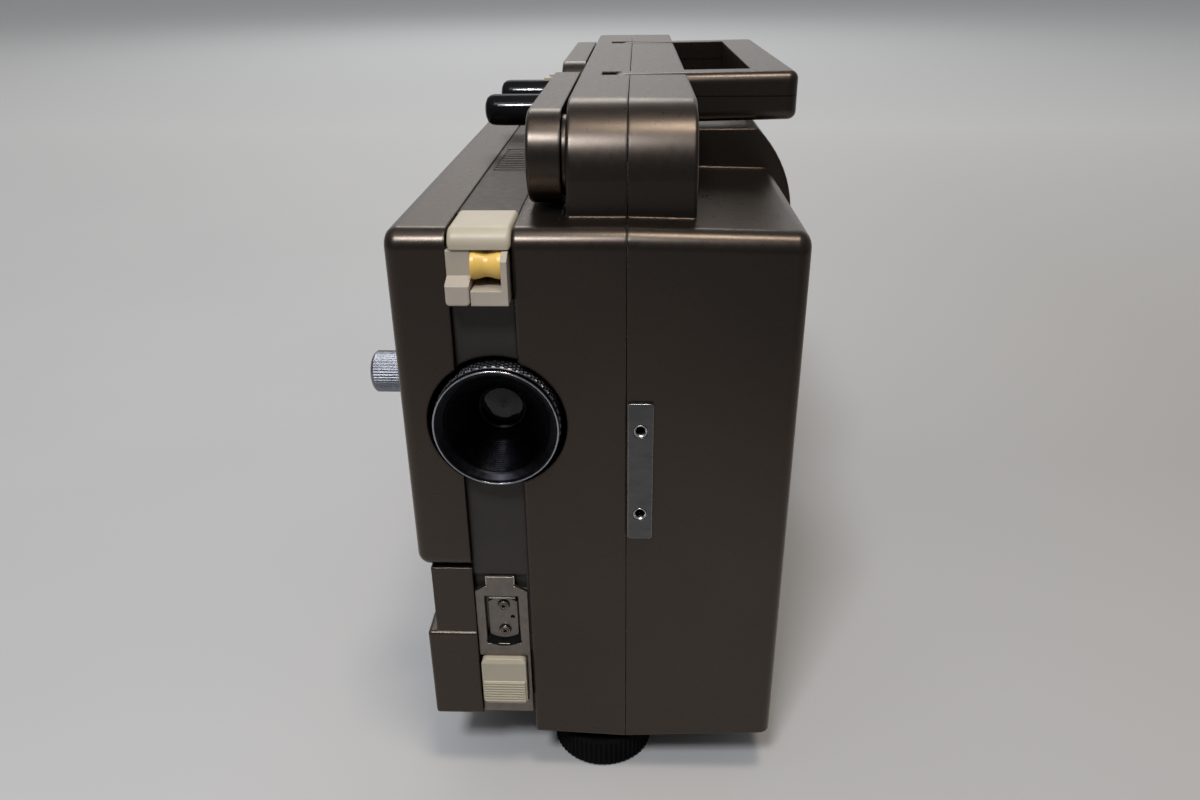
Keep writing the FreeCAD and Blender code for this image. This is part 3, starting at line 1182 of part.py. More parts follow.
def make_lens():
    """Lens: barrel with its rack, zoom ring, glasses, holder and focus knob."""
    front = -D["lens_proud"]
    rim = D["lens_rim_radius"]
    seat = D["zoom_ring_seat_radius"]
    bore = D["lens_bore_radius"]
    tube = D["lens_tube_radius"]
    bell_end = front + D["lens_bell_length"]
    end = bell_end + D["lens_tube_length"]
    cone_end = front + D["lens_cone_depth"]
    ring_start = front + 2.4
    ring_end = ring_start + D["zoom_ring_length"]
    barrel = turned("barrel_turned", "Y", LENS, [
        (front + 0.3, rim - 1.5), (front, rim - 0.9), (front, rim - 0.3), (front + 0.5, rim),
        (front + 2.2, rim), (front + 2.2, seat), (ring_end + 0.2, seat),
        (ring_end + 0.2, seat - 1), (bell_end, seat - 1), (bell_end, tube), (end, tube),
        (end, bore), (cone_end, bore), (cone_end, bore - 1.2), (cone_end - 6, bore + 0.5),
        (front + 1.6, rim - 3.0)])
    rack_z = FOCUS[1] + D["pinion_radius"]
    rack_x = (LENS_X - tube - 2.7, LENS_X - tube + 3.0)
    rack_y = (FOCUS[0] - 9, FOCUS[0] + 9)
    bar = box("rack_bar", rack_x, rack_y, (rack_z + 0.7, rack_z + 4))
    teeth = []
    pitch = D["pinion_radius"] * math.pi / 6
    for number in range(-5, 6):
        middle = FOCUS[0] + pitch * number
        teeth.append(prism("rack_tooth%d" % (number + 5), "X", [
            (middle - 0.62, rack_z + 0.8), (middle - 0.24, rack_z - 0.4),
            (middle + 0.24, rack_z - 0.4), (middle + 0.62, rack_z + 0.8),
        ], (rack_x[0], rack_x[0] + 2.0)))
    finish(join("lens_barrel", barrel, bar, *teeth), "lens_barrel")
    ring = turned("zoom_ring", "Y", LENS, [
        (ring_start, seat + D["running_gap"]), (ring_start, D["zoom_ring_radius"] - 0.5),
        (ring_start + 0.5, D["zoom_ring_radius"]), (ring_end - 0.5, D["zoom_ring_radius"]),
        (ring_end, D["zoom_ring_radius"] - 0.5), (ring_end, seat + D["running_gap"])])
    flutes(ring, "Y", LENS, (ring_start - 1, ring_end + 1), D["zoom_ring_radius"] + 0.25, 0.75, 60)
    finish(ring, "zoom_ring")
    glasses = []
    for number, place_y in enumerate((cone_end, end - D["glass_thickness"] - 0.5), start=1):
        thick = D["glass_thickness"]
        glasses.append(turned("glass%d" % number, "Y", LENS, [
            (place_y + 0.1, 0), (place_y + 0.5, bore * 0.5), (place_y + 1.2, bore),
            (place_y + thick - 0.6, bore), (place_y + thick, bore * 0.5),
            (place_y + thick + 0.1, 0)]))
    finish(group("lens_glasses", *glasses), "lens_glasses")
    make_lens_holder(bell_end, tube, rack_x)
    make_focus_knob(rack_x)


def make_lens_holder(bell_end, tube, rack_x):
    """Clamp ring that carries the lens, with the flange that holds it to the frame."""
    start = bell_end + D["focus_travel"] + 1
    y = (start, start + 24)
    outer = tube + 3
    ring = rod("holder_ring", "Y", y, LENS, outer)
    flange = box("holder_flange", (CHANNEL_RIGHT, CHANNEL_RIGHT + 2), (start, y[1] + 4),
                 (LENS_Z - 31, LENS_Z + 31))
    foot = box("holder_foot", (CARRIER_LEFT - 4, CHANNEL_RIGHT + 2), (start, y[1]),
               (LENS_Z - 18, LENS_Z + 18))
    cheek = box("holder_cheek", (rack_x[0] - 4.0, rack_x[0] - 2.0), (FOCUS[0] - 5, FOCUS[0] + 5),
                (FOCUS[1] - 15, FOCUS[1] + 12))
    upper = box("holder_upper", (rack_x[0] - 4.0, LENS_X - 2), (FOCUS[0] - 5, FOCUS[0] + 5),
                (FOCUS[1] + 9.4, FOCUS[1] + 12))
    lower = box("holder_lower", (rack_x[0] - 4.0, LENS_X - 2), (FOCUS[0] - 5, FOCUS[0] + 5),
                (FOCUS[1] - 15, FOCUS[1] - 12))
    solid = join("holder_solid", ring, flange, foot, cheek, upper, lower)
    tools = [
        rod("holder_bore", "Y", (start - 10, y[1] + 10), LENS, tube + 0.1),
        box("holder_slot", (LENS_X - outer - 1, LENS_X - tube + 4),
            (start - 3, y[1] + 1), (FOCUS[1] - 5, FOCUS[1] + 9)),
        rod("holder_bearing", "X", (rack_x[0] - 5, rack_x[0] - 1), FOCUS, 2.0 + D["running_gap"]),
    ]
    finish(cut("lens_holder", solid, *tools), "lens_holder")


def make_focus_knob(rack_x):
    """Focus knob, its shaft and the pinion that drives the lens rack."""
    left = FOCUS_KNOB_LEFT
    right = FOCUS_KNOB_RIGHT
    radius = D["focus_knob_radius"]
    shaft_end = rack_x[0] + 2.1
    knob = turned("knob_turned", "X", FOCUS, [
        (left, 0), (left, radius - 2), (left + 0.6, radius - 0.8), (left + 1.6, radius),
        (right - 0.8, radius), (right, radius - 0.8), (right, 2.0), (shaft_end, 2.0),
        (shaft_end, 0)])
    flutes(knob, "X", FOCUS, (left + 1.4, right + 1), radius + 0.25, 0.55, 48)
    root = D["pinion_radius"] - 0.7
    teeth = [knob, rod("pinion_root", "X", (rack_x[0] - 0.3, rack_x[0] + 2.1), FOCUS, root)]
    for number in range(12):
        tooth = doc.addObject("Part::Box", "pinion_tooth%d" % number)
        turn = FreeCAD.Rotation(FreeCAD.Vector(1, 0, 0), 30.0 * number + 15.0)
        tooth.Placement = FreeCAD.Placement(FreeCAD.Vector(0, 0, 0), turn)
        bind(tooth, "Length", 2.0)
        bind(tooth, "Width", 0.44)
        bind(tooth, "Height", D["pinion_radius"] + 0.3)
        half = turn.multVec(FreeCAD.Vector(0, -0.22, 0))
        place(tooth, rack_x[0], FOCUS[0] + half.y, FOCUS[1] + half.z)
        teeth.append(tooth)
    finish(join("focus_knob", *teeth), "focus_knob")


def make_foot():
    """Height-adjusting foot: ribbed wheel, threaded shaft, bush; and the rear feet."""
    radius = D["foot_wheel_radius"]
    height = D["foot_wheel_height"]
    shaft = D["foot_shaft_radius"]
    bore = shaft + D["running_gap"]
    wheel = turned("foot_wheel", "Z", FOOT, [
        (0, 0), (0, radius - 1.5), (1.2, radius), (height - 1.0, radius),
        (height, radius - 1.0), (height, radius - 4), (height - 2, radius - 5),
        (height - 2, 9), (height, 8), (height, bore), (2, bore), (2, 0)])
    flutes(wheel, "Z", FOOT, (-1, height + 1), radius + 0.35, 0.85, 60)
    finish(wheel, "foot_wheel")
    top = D["body_bottom"] + D["wall"] + D["foot_travel"] + 6
    finish(turned("foot_shaft", "Z", FOOT, [(2.05, 0), (2.05, shaft), (top - 1, shaft),
                                            (top, shaft - 1), (top, 0)]), "foot_shaft")
    low = D["body_bottom"]
    bush = D["foot_bush_radius"]
    finish(turned("foot_bush", "Z", FOOT, [
        (low - 2.5, bore), (low - 2.5, bush + 1.5), (low, bush + 1.5), (low, bush),
        (low + 9, bush), (low + 9, bore)]), "foot_bush")
    feet = []
    right_centre = (D["rear_foot_right"], REAR_FOOT_Y)
    left_centre = (-D["rear_foot_left"], REAR_FOOT_Y)
    foot_radius = D["rear_foot_radius"]
    bottom = D["channel_bottom"]
    feet.append(turned("rear_foot_left", "Z", left_centre, [
        (0, 0), (0, foot_radius - 1.5), (1.5, foot_radius), (bottom, foot_radius + 1),
        (bottom, 0)]))
    blank = turned("rear_foot_right_blank", "Z", right_centre, [
        (0, 0), (0, foot_radius - 1.5), (1.5, foot_radius), (low + 6, foot_radius + 1),
        (low + 6, 0)])
    slope = D["right_bottom_rise"] / D["right_width"]
    x0, x1 = D["rear_foot_right"] - 14, D["rear_foot_right"] + 14
    under = prism("rear_foot_trim", "Y", [
        (x0, low + slope * x0), (x1, low + slope * x1), (x1, low + 20), (x0, low + 20),
    ], (REAR_FOOT_Y - 14, REAR_FOOT_Y + 14))
    feet.append(cut("rear_foot_right_cut", blank, under))
    finish(group("rear_feet", *feet), "rear_feet")


def make_handle():
    """Carry handle folded to the right, and the pins that it turns on."""
    left = HANDLE_PIVOT[0] - D["handle_height"] / 2
    right = D["handle_right"]
    blank = prism("handle_blank", "Y", [
        (left, HANDLE_BOTTOM), (right, HANDLE_BOTTOM + D["handle_bottom_rise"]),
        (right, RIDGE_TOP + D["handle_top_rise"]), (left, RIDGE_TOP),
    ], (D["handle_front"], HANDLE_BACK))
    gap = box("handle_gap", (left - 1, right - D["handle_grip"]),
              (LEG_SPANS[0][1], LEG_SPANS[1][0]), (HANDLE_BOTTOM - 5, RIDGE_TOP + 5))
    hollow = cut("handle_u", blank, gap)
    end_round = D["handle_height"] / 2 - 0.1
    soft = rounded("handle_soft", hollow,
                   (end_round, dict(along="Y", x=left, z=HANDLE_BOTTOM)),
                   (end_round, dict(along="Y", x=left, z=RIDGE_TOP)),
                   (D["handle_edge_radius"], dict(along="Y", x=right)),
                   (D["handle_corner_radius"], dict(along="Z", x=right)))
    bores = [rod("handle_bore%d" % number, "Y", (span[0] - 1, span[1] + 1), HANDLE_PIVOT,
                 D["handle_pin_radius"] + D["running_gap"])
             for number, span in enumerate(LEG_SPANS, start=1)]
    finish(cut("handle", soft, *bores), "handle")
    pins = [rod("handle_pin%d" % number, "Y",
                (span[0] - D["slot_rib"] - 0.5, span[1] + D["slot_rib"] + 0.5),
                HANDLE_PIVOT, D["handle_pin_radius"])
            for number, span in enumerate(LEG_SPANS, start=1)]
    finish(group("handle_pins", *pins), "handle_pins")


def make_arm(name, pivot_y, tip_y):
    """A reel arm: round ends, bores for its stud and its spindle."""
    x = (ARM_LEFT, ARM_RIGHT)
    radius = D["arm_radius"]
    low_y, high_y = (pivot_y, tip_y) if pivot_y.value < tip_y.value else (tip_y, pivot_y)
    bar = box(name + "_bar", x, (low_y, high_y), (ARM_Z - radius, ARM_Z + radius))
    ends = [rod(name + "_pivot_end", "X", x, (pivot_y, ARM_Z), radius),
            rod(name + "_tip_end", "X", x, (tip_y, ARM_Z), radius)]
    solid = join(name + "_solid", bar, *ends)
    soft = rounded(name + "_soft", solid, (D["small_radius"], dict(x=ARM_LEFT)))
    gap = D["running_gap"]
    tools = [rod(name + "_stud_bore", "X", (ARM_LEFT + 2.0, ARM_RIGHT + 1), (pivot_y, ARM_Z),
                 D["arm_stud_radius"] + gap),
             rod(name + "_spindle_bore", "X", (ARM_LEFT - 1, ARM_RIGHT - 2.0), (tip_y, ARM_Z),
                 D["spindle_shaft_radius"] + gap)]
    finish(cut(name, soft, *tools), name)


def make_spindle(name, tip_y):
    """A reel spindle with its reel flange and shaft."""
    radius = D["spindle_radius"]
    root = ARM_LEFT - 0.2
    tip = ARM_LEFT - D["spindle_length"]
    finish(turned(name, "X", (tip_y, ARM_Z), [
        (tip, 0), (tip, radius - 3), (tip + 0.8, radius - 1.3), (tip + 2.2, radius - 0.3),
        (tip + 4, radius), (root - 2.2, radius), (root - 2.0, radius + 2.4), (root, radius + 2.4),
        (root, D["spindle_shaft_radius"]), (ARM_RIGHT - 2.4, D["spindle_shaft_radius"]),
        (ARM_RIGHT - 2.4, 0)]), name)


def make_reel_arms():
    """Both folding reel arms with their spindles, and the studs that carry them."""
    studs = []
    for number, pivot in enumerate((D["front_arm_pivot"], REAR_PIVOT_Y), start=1):
        side = -D["ridge_left"]
        radius = D["arm_stud_radius"]
        studs.append(turned("arm_stud%d" % number, "X", (pivot, ARM_Z), [
            (ARM_LEFT + 2.3, 0), (ARM_LEFT + 2.3, radius), (ARM_RIGHT + 0.3, radius),
            (ARM_RIGHT + 0.3, radius + 8.5), (side, radius + 8.5), (side, radius),
            (side + D["wall"], radius), (side + D["wall"], radius + 3),
            (side + D["wall"] + 2.5, radius + 3), (side + D["wall"] + 2.5, 0)]))
    finish(group("arm_studs", *studs), "arm_studs")
    make_arm("front_arm", D["front_arm_pivot"], FRONT_SPINDLE_Y)
    make_arm("rear_arm", REAR_PIVOT_Y, REAR_SPINDLE_Y)
    make_spindle("front_spindle", FRONT_SPINDLE_Y)
    make_spindle("rear_spindle", REAR_SPINDLE_Y)


def make_knobs():
    """Operator's knobs on the left of the base."""
    face = CHANNEL_LEFT - D["base_width"]
    shaft = D["knob_shaft_radius"]
    names = ("control_knob", "volume_knob", "tone_knob")
    for name, (centre, radius) in zip(names, KNOBS):
        inner = face + KNOB_REACH
        length = D["knob_proud"]
        body = turned(name + "_turned", "X", centre, [
            (face - length, 0), (face - length, radius - 2.2), (face - length + 0.8, radius - 1.4),
            (face - 3.0, radius - 1.2), (face - 2.4, radius), (face - 0.4, radius),
            (face - 0.4, shaft), (inner, shaft), (inner, 0)])
        flutes(body, "X", centre, (face - length - 1, face - 2.9), radius - 0.9, 0.8, 30)
        doc.recompute()
        mark = box(name + "_mark", (face - length - 1, face - length + 0.5),
                   (centre[0] - 0.6, centre[0] + 0.6),
                   (centre[1] + radius * 0.35, centre[1] + radius + 1))
        finish(cut(name, body, mark), name)


def make_chassis():
    """Chassis plate beside the seam with the shutter shaft's bearing."""
    y = (D["chassis_front"], BACK - D["chassis_rear_gap"])
    low = D["body_bottom"] + D["wall"] + 0.4
    window_low = D["chassis_window_bottom"]
    plate = box("chassis_blank", (CHASSIS_LEFT, CHASSIS_RIGHT), y, (low, BODY_TOP - D["wall"]))
    bearing = box("shutter_bearing", (SHUTTER[0] - 6, CHASSIS_LEFT + 1),
                  (D["shutter_back"] + 4, D["shutter_back"] + 9), (SHUTTER[1] - 6, SHUTTER[1] + 6))
    tools = [
        rod("shutter_bearing_bore", "Y", (D["shutter_back"] + 3, D["shutter_back"] + 10), SHUTTER,
            2.5 + D["running_gap"]),
        box("belt_window", (CHASSIS_LEFT - 1, CHASSIS_RIGHT + 1),
            (D["belt_back"] - 3, D["belt_back"] + D["belt_width"] + 3),
            (SHUTTER[1] - 62, SHUTTER[1] - 3)),
        box("chassis_window", (CHASSIS_LEFT - 1, CHASSIS_RIGHT + 1), (y[1] - 95, y[1] - 15),
            (window_low, window_low + D["chassis_window_height"])),
    ]
    tabs = []
    for number, (back, height, _) in enumerate(SHELL_SCREWS, start=1):
        reach = (back - 8, y[0] + 1) if back.value < y[0].value else (y[1] - 1, back + 8)
        tabs.append(box("chassis_tab%d" % number, (CHASSIS_LEFT, CHASSIS_RIGHT), reach,
                        (height - 7, height + 7)))
        tools.append(rod("chassis_tab_hole%d" % number, "X", (CHASSIS_LEFT - 1, CHASSIS_RIGHT + 1),
                         (back, height), D["screw_post_radius"]))
    finish(cut("chassis_plate", join("chassis_solid", plate, bearing, *tabs), *tools),
           "chassis_plate")


def make_shutter_drive():
    """Shutter, its shaft and pulley, the drive belt, the motor and the cooling fan."""
    back = D["shutter_back"]
    belt_end = D["belt_back"] + D["belt_width"]
    disc = rod("shutter_disc", "Y", (back, back + 1.2), SHUTTER, D["shutter_radius"])
    tools = [rod("shutter_bore", "Y", (back - 1, back + 3), SHUTTER, 2.5)]
    for number in range(3):
        angle = math.radians(120 * number + 60)
        middle = D["shutter_radius"] * 0.82
        tools.append(rod("shutter_gap%d" % number, "Y", (back - 1, back + 3),
                         (SHUTTER[0] + middle * math.cos(angle),
                          SHUTTER[1] + middle * math.sin(angle)), D["shutter_radius"] * 0.33))
    finish(cut("shutter", disc, *tools), "shutter")
    pulley = D["shutter_pulley_radius"]
    finish(turned("shutter_shaft", "Y", SHUTTER, [
        (back - 4, 0), (back - 4, 2.5), (D["belt_back"] - 2.5, 2.5),
        (D["belt_back"] - 2.5, pulley + 1.5), (D["belt_back"] - 0.8, pulley + 1.5),
        (D["belt_back"] - 0.8, pulley - 0.3), (belt_end + 0.8, pulley - 0.3),
        (belt_end + 0.8, pulley + 1.5), (belt_end + 2.5, pulley + 1.5), (belt_end + 2.5, 2.5),
        (belt_end + 5, 2.5), (belt_end + 5, 0)]), "shutter_shaft")
    small = D["motor_pulley_radius"]
    motor_front = belt_end + 6
    motor_back = motor_front + D["motor_length"]
    finish(turned("motor_rotor", "Y", MOTOR, [
        (D["belt_back"] - 4, 0), (D["belt_back"] - 4, small + 1.5),
        (D["belt_back"] - 0.8, small + 1.5), (D["belt_back"] - 0.8, small - 0.3),
        (belt_end + 0.8, small - 0.3), (belt_end + 0.8, small + 1.5), (belt_end + 3, small + 1.5),
        (belt_end + 3, 2.0), (motor_back + 17, 2.0), (motor_back + 17, 0)]), "motor_rotor")
    stator = turned("motor_stator", "Y", MOTOR, [
        (motor_front, 2.0 + D["running_gap"]), (motor_front, 8), (motor_front + 2, 8),
        (motor_front + 2, D["motor_radius"]), (motor_back - 2, D["motor_radius"]),
        (motor_back - 2, 8), (motor_back, 8), (motor_back, 2.0 + D["running_gap"])])
    bracket = box("motor_bracket", (CHASSIS_RIGHT, MOTOR[0]), (motor_front + 8, motor_back - 8),
                  (MOTOR[1] - 8, MOTOR[1] + 8))
    bracket_bore = rod("motor_bracket_bore", "Y", (motor_front, motor_back), MOTOR,
                       D["motor_radius"] - 2)
    finish(join("motor", stator, cut("motor_bracket_cut", bracket, bracket_bore)), "motor")
    fan_front = motor_back + 2
    hub = turned("fan_hub", "Y", MOTOR, [
        (fan_front, 2.0), (fan_front, D["fan_radius"]), (fan_front + 1.2, D["fan_radius"]),
        (fan_front + 1.2, 6), (fan_front + 12, 6), (fan_front + 12, 2.0)])
    doc.recompute()
    blades = [hub]
    for number in range(12):
        blade = doc.addObject("Part::Box", "fan_blade%d" % number)
        turn = FreeCAD.Rotation(FreeCAD.Vector(0, 1, 0), 30.0 * number)
        blade.Placement = FreeCAD.Placement(FreeCAD.Vector(0, 0, 0), turn)
        inner_edge = 5.0
        start = turn.multVec(FreeCAD.Vector(inner_edge, 0, -0.5))
        bind(blade, "Length", D["fan_radius"] - inner_edge - 0.5)
        bind(blade, "Width", 11.0)
        bind(blade, "Height", 1.0)
        place(blade, MOTOR[0] + start.x, fan_front + 0.6, MOTOR[1] + start.z)
        blades.append(blade)
    finish(join("cooling_fan", *blades), "cooling_fan")
    finish(belt("drive_belt", SHUTTER, pulley, MOTOR, small), "drive_belt")


def belt(name, first, first_radius, second, second_radius):
    """A flat belt round two pulleys on Y axes: tangent runs joined by arcs."""
    front = D["belt_back"].value
    a = FreeCAD.Vector(size(first[0]).value, front, size(first[1]).value)
    b = FreeCAD.Vector(size(second[0]).value, front, size(second[1]).value)
    gap = 0.05

    def loop(extra):
        big = size(first_radius).value + extra
        small = size(second_radius).value + extra
        line = b - a
        direction = math.atan2(line.z, line.x)
        lean = math.acos((big - small) / line.Length)
        points = []
        for centre, radius in ((a, big), (b, small)):
            for turn in (lean, -lean):
                angle = direction + turn
                points.append(centre + FreeCAD.Vector(radius * math.cos(angle), 0,
                                                      radius * math.sin(angle)))
        far_a = a - FreeCAD.Vector(math.cos(direction), 0, math.sin(direction)) * big
        far_b = b + FreeCAD.Vector(math.cos(direction), 0, math.sin(direction)) * small
        a_up, a_down, b_up, b_down = points
        return Part.Wire([
            Part.LineSegment(a_up, b_up).toShape(), Part.Arc(b_up, far_b, b_down).toShape(),
            Part.LineSegment(b_down, a_down).toShape(), Part.Arc(a_down, far_a, a_up).toShape()])

    along = FreeCAD.Vector(0, D["belt_width"].value, 0)
    outer = Part.Face(loop(gap + D["belt_thickness"].value)).extrude(along)
    inner = Part.Face(loop(gap)).extrude(along)
    thing = doc.addObject("Part::Feature", name)
    thing.Shape = outer.cut(inner)
    return thing


def make_lamp():
    """Projection lamp in its reflector, and the lamp holder on the frame."""
    front = D["lamp_back"]
    neck = front + D["lamp_depth"]
    rim = D["lamp_radius"]
    finish(turned("lamp_reflector", "Y", LENS, [
        (front, rim), (front, rim - 1.4), (front + 6, rim - 3.2), (front + 13, rim - 7.5),
        (front + 19, 7.5), (front + 21, 5.0), (neck + 6, 5.0), (neck + 6, 7.5), (neck, 7.5),
        (front + 20.5, 9.2), (front + 14, rim - 5.8), (front + 7, rim - 1.6),
        (front + 1.5, rim)]), "lamp_reflector")
    finish(turned("lamp_bulb", "Y", LENS, [
        (front + 5, 0), (front + 5, 1.2), (front + 7, 4.2), (front + 16, 4.8),
        (neck + 6, 4.8), (neck + 6, 0)]), "lamp_bulb")
    finish(box("lamp_socket", (LENS_X - 10, CARRIER_LEFT), (neck + 6, neck + 18),
               (LENS_Z - 10.5, LENS_Z + 10.5)), "lamp_socket")


def make_film_path():
    """Gate, pressure plate, sprockets, capstan and sound head."""
    gate_y = D["shutter_back"] - 11
    plate = box("gate_blank", (CHANNEL_LEFT + 3, CARRIER_LEFT), (gate_y, gate_y + 2),
                (LENS_Z - 32, LENS_Z + 32))
    aperture = box("gate_aperture", (LENS_X - 2.8, LENS_X + 2.8), (gate_y - 1, gate_y + 3),
                   (LENS_Z - 2.1, LENS_Z + 2.1))
    finish(cut("film_gate", plate, aperture), "film_gate")
    pressure = box("pressure_blank", (CHANNEL_LEFT + 6, CARRIER_LEFT - 2),
                   (gate_y - 1.5, gate_y), (LENS_Z - 14, LENS_Z + 14))
    hole = box("pressure_hole", (LENS_X - 4, LENS_X + 4), (gate_y - 3, gate_y + 1),
               (LENS_Z - 3.5, LENS_Z + 3.5))
    finish(cut("pressure_plate", pressure, hole), "pressure_plate")
    radius = D["sprocket_radius"]
    left = CHANNEL_LEFT + 3
    right = CARRIER_LEFT - 1.5
    for name, centre in zip(("upper_sprocket", "lower_sprocket"), SPROCKETS):
        body = turned(name, "X", centre, [
            (left, 0), (left, radius), (left + 3, radius), (left + 3.4, radius - 1.2),
            (right - 3.4, radius - 1.2), (right - 3, radius), (right, radius), (right, 2.0),
            (CHANNEL_RIGHT + 3, 2.0), (CHANNEL_RIGHT + 3, 0)])
        flutes(body, "X", centre, (left - 1, left + 3.2), radius + 0.3, 0.8, 18)
        finish(body, name)
    flywheel = D["shutter_radius"] + 6
    finish(turned("capstan", "X", CAPSTAN, [
        (left - 1, 0), (left - 1, 2.0), (CHANNEL_RIGHT + 4, 2.0), (CHANNEL_RIGHT + 4, flywheel),
        (CHANNEL_RIGHT + 14, flywheel), (CHANNEL_RIGHT + 14, 0)]), "capstan")
    head_y = CAPSTAN[0] - 22
    finish(rounded("sound_head", block("sound_head_blank", (left + 2, CARRIER_LEFT),
                                     (head_y, head_y + 13), (CAPSTAN[1] - 7, CAPSTAN[1] + 7)),
                   (3.0, dict(along="X", y=head_y))), "sound_head")


def make_electrics():
    """Transformer, amplifier board and speaker in the right half shell."""
    x = (CHASSIS_RIGHT, D["transformer_right"])
    rear = BACK - D["transformer_rear_gap"]
    y = (rear - D["transformer_length"], rear)
    z = (D["transformer_bottom"], D["transformer_bottom"] + D["transformer_height"])
    leg = D["transformer_leg"]
    core = box("core_blank", x, (y[0] + leg, y[1] - leg), z)
    window = box("core_window", (x[0] + leg - 1, x[1] - leg + 1), y, (z[0] + leg, z[1] - leg))
    finish(cut("transformer_core", core, window), "transformer_core")
    coil = box("coil_blank", (x[0] + leg - 0.6, x[1] - leg + 0.6), (y[0] + 3, y[1] - 3),
               (z[0] + 3, z[1] - 3))
    past = leg + 0.4
    across = (x[0] + leg - 2, x[1] - leg + 2)
    inner = box("coil_inner", across, (y[0] + leg - 0.4, y[1] - leg + 0.4),
                (z[0] + 2, z[0] + past))
    outer = box("coil_outer", across, (y[0] + leg - 0.4, y[1] - leg + 0.4),
                (z[1] - past, z[1] - 2))
    finish(cut("transformer_winding", coil, inner, outer), "transformer_winding")
    rear = BACK - D["board_rear_gap"]
    front = rear - D["board_length"]
    low = D["board_bottom"]
    high = low + D["board_height"]
    board = box("board_sheet", (CHASSIS_RIGHT + 5, CHASSIS_RIGHT + 6.6), (front, rear),
                (low, high))
    parts = [board]
    for number in range(5):
        along = front + 10 + number * 16.0
        parts.append(rod("capacitor%d" % number, "X", (CHASSIS_RIGHT + 6, CHASSIS_RIGHT + 18),
                         (along, high - 14), 5.0))
        parts.append(box("chip%d" % number, (CHASSIS_RIGHT + 6, CHASSIS_RIGHT + 9),
                         (along - 5, along + 5), (low + 14, low + 20)))
    corners = [(along, up) for up in (low + 4, high - 4) for along in (front + 4, rear - 4)]
    for number, corner in enumerate(corners):
        parts.append(rod("board_post%d" % number, "X", (CHASSIS_RIGHT, CHASSIS_RIGHT + 5.5),
                         corner, 2.5))
    finish(join("amplifier_board", *parts), "amplifier_board")
    face = SHOULDER_RIGHT - D["wall"]
    radius = D["speaker_radius"]
    centre = (D["speaker_back"], D["speaker_height"])
    finish(turned("speaker", "X", centre, [
        (face, radius), (face, radius - 3), (face - 1.5, radius - 4), (face - 10, 9),
        (face - 9, 6), (face - 8, 0), (face - 26, 0), (face - 26, 15), (face - 14, 15),
        (face - 13, 10), (face - 2.5, radius - 2), (face - 2.5, radius)]), "speaker")


def check_and_export():
    """Stop on any failed object, then write one file for each finished part."""
    doc.recompute()
    for thing in doc.Objects:
        if "Invalid" in thing.State or "Error" in thing.State:
            raise ValueError("%s failed: %s" % (thing.Label, thing.State))
    for thing in FINISHED:
        if thing.Shape.isNull() or not thing.Shape.isValid():
            raise ValueError("%s has no valid shape" % thing.Label)
    os.makedirs("parts", exist_ok=True)
    for thing in FINISHED:
        thing.Shape.exportStep("parts/%s.step" % thing.Label)
        bounds = thing.Shape.BoundBox
        print("%-20s solids %d  volume %9.0f  x %7.1f %7.1f  y %7.1f %7.1f  z %6.1f %6.1f" % (
            thing.Label, len(thing.Shape.Solids), thing.Shape.Volume, bounds.XMin, bounds.XMax,
            bounds.YMin, bounds.YMax, bounds.ZMin, bounds.ZMax))
    print("parts written:", len(FINISHED))


make_right_shell()
make_left_shell()
make_screws()
make_front_plate()
make_rear_panel()
make_mechanism_frame()
make_covers()
make_film_inlet()
make_cutter()
make_button()
make_lens()
make_foot()
make_handle()
make_reel_arms()
make_knobs()
make_chassis()
make_shutter_drive()
make_lamp()
make_film_path()
make_electrics()
check_and_export()
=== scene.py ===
"""Looks of the film projector: materials, fine detail, floor, light and camera."""

import json
import math

import bmesh
import bpy
from mathutils import Matrix, Vector


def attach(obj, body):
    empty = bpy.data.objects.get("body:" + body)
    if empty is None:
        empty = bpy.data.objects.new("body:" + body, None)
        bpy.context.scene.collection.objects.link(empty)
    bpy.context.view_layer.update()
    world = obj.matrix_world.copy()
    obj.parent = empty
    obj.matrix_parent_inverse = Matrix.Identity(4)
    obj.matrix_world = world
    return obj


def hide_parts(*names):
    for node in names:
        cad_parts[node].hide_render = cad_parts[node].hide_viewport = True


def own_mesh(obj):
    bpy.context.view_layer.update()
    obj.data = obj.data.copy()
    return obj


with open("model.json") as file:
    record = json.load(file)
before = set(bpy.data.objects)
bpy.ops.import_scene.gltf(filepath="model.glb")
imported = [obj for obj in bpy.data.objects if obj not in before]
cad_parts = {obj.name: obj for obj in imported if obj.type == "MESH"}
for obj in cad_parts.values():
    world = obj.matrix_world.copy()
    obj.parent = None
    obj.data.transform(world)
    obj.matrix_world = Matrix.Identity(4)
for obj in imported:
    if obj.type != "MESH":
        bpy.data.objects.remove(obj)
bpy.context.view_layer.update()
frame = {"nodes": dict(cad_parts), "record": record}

# The pieces below are drawn in the part's own millimetres: X from the seam between the
# half shells, Y from the front face, Z from the table. This moves them to the row frame.
MM = 0.001
SHIFT = Vector((13.9, -152.0, 0))
TO_FRAME = Matrix.Scale(MM, 4) @ Matrix.Translation(SHIFT)

# The lens axis (X, Z), its rim, and the knurl of the zoom ring
LENS = (-42.0, 152.5)
RIM_FRONT = -3.7
RIM_RADIUS = 20.5
KNURL_RADIUS = 20.8
KNURL_DEPTH = 0.75
# Heights of the reel arms' axes, of the operator's knobs and of the handle's mould seam
ARM_HEIGHT = 232.2
KNOB_HEIGHT = 47.5
HANDLE_SEAM = 241.5


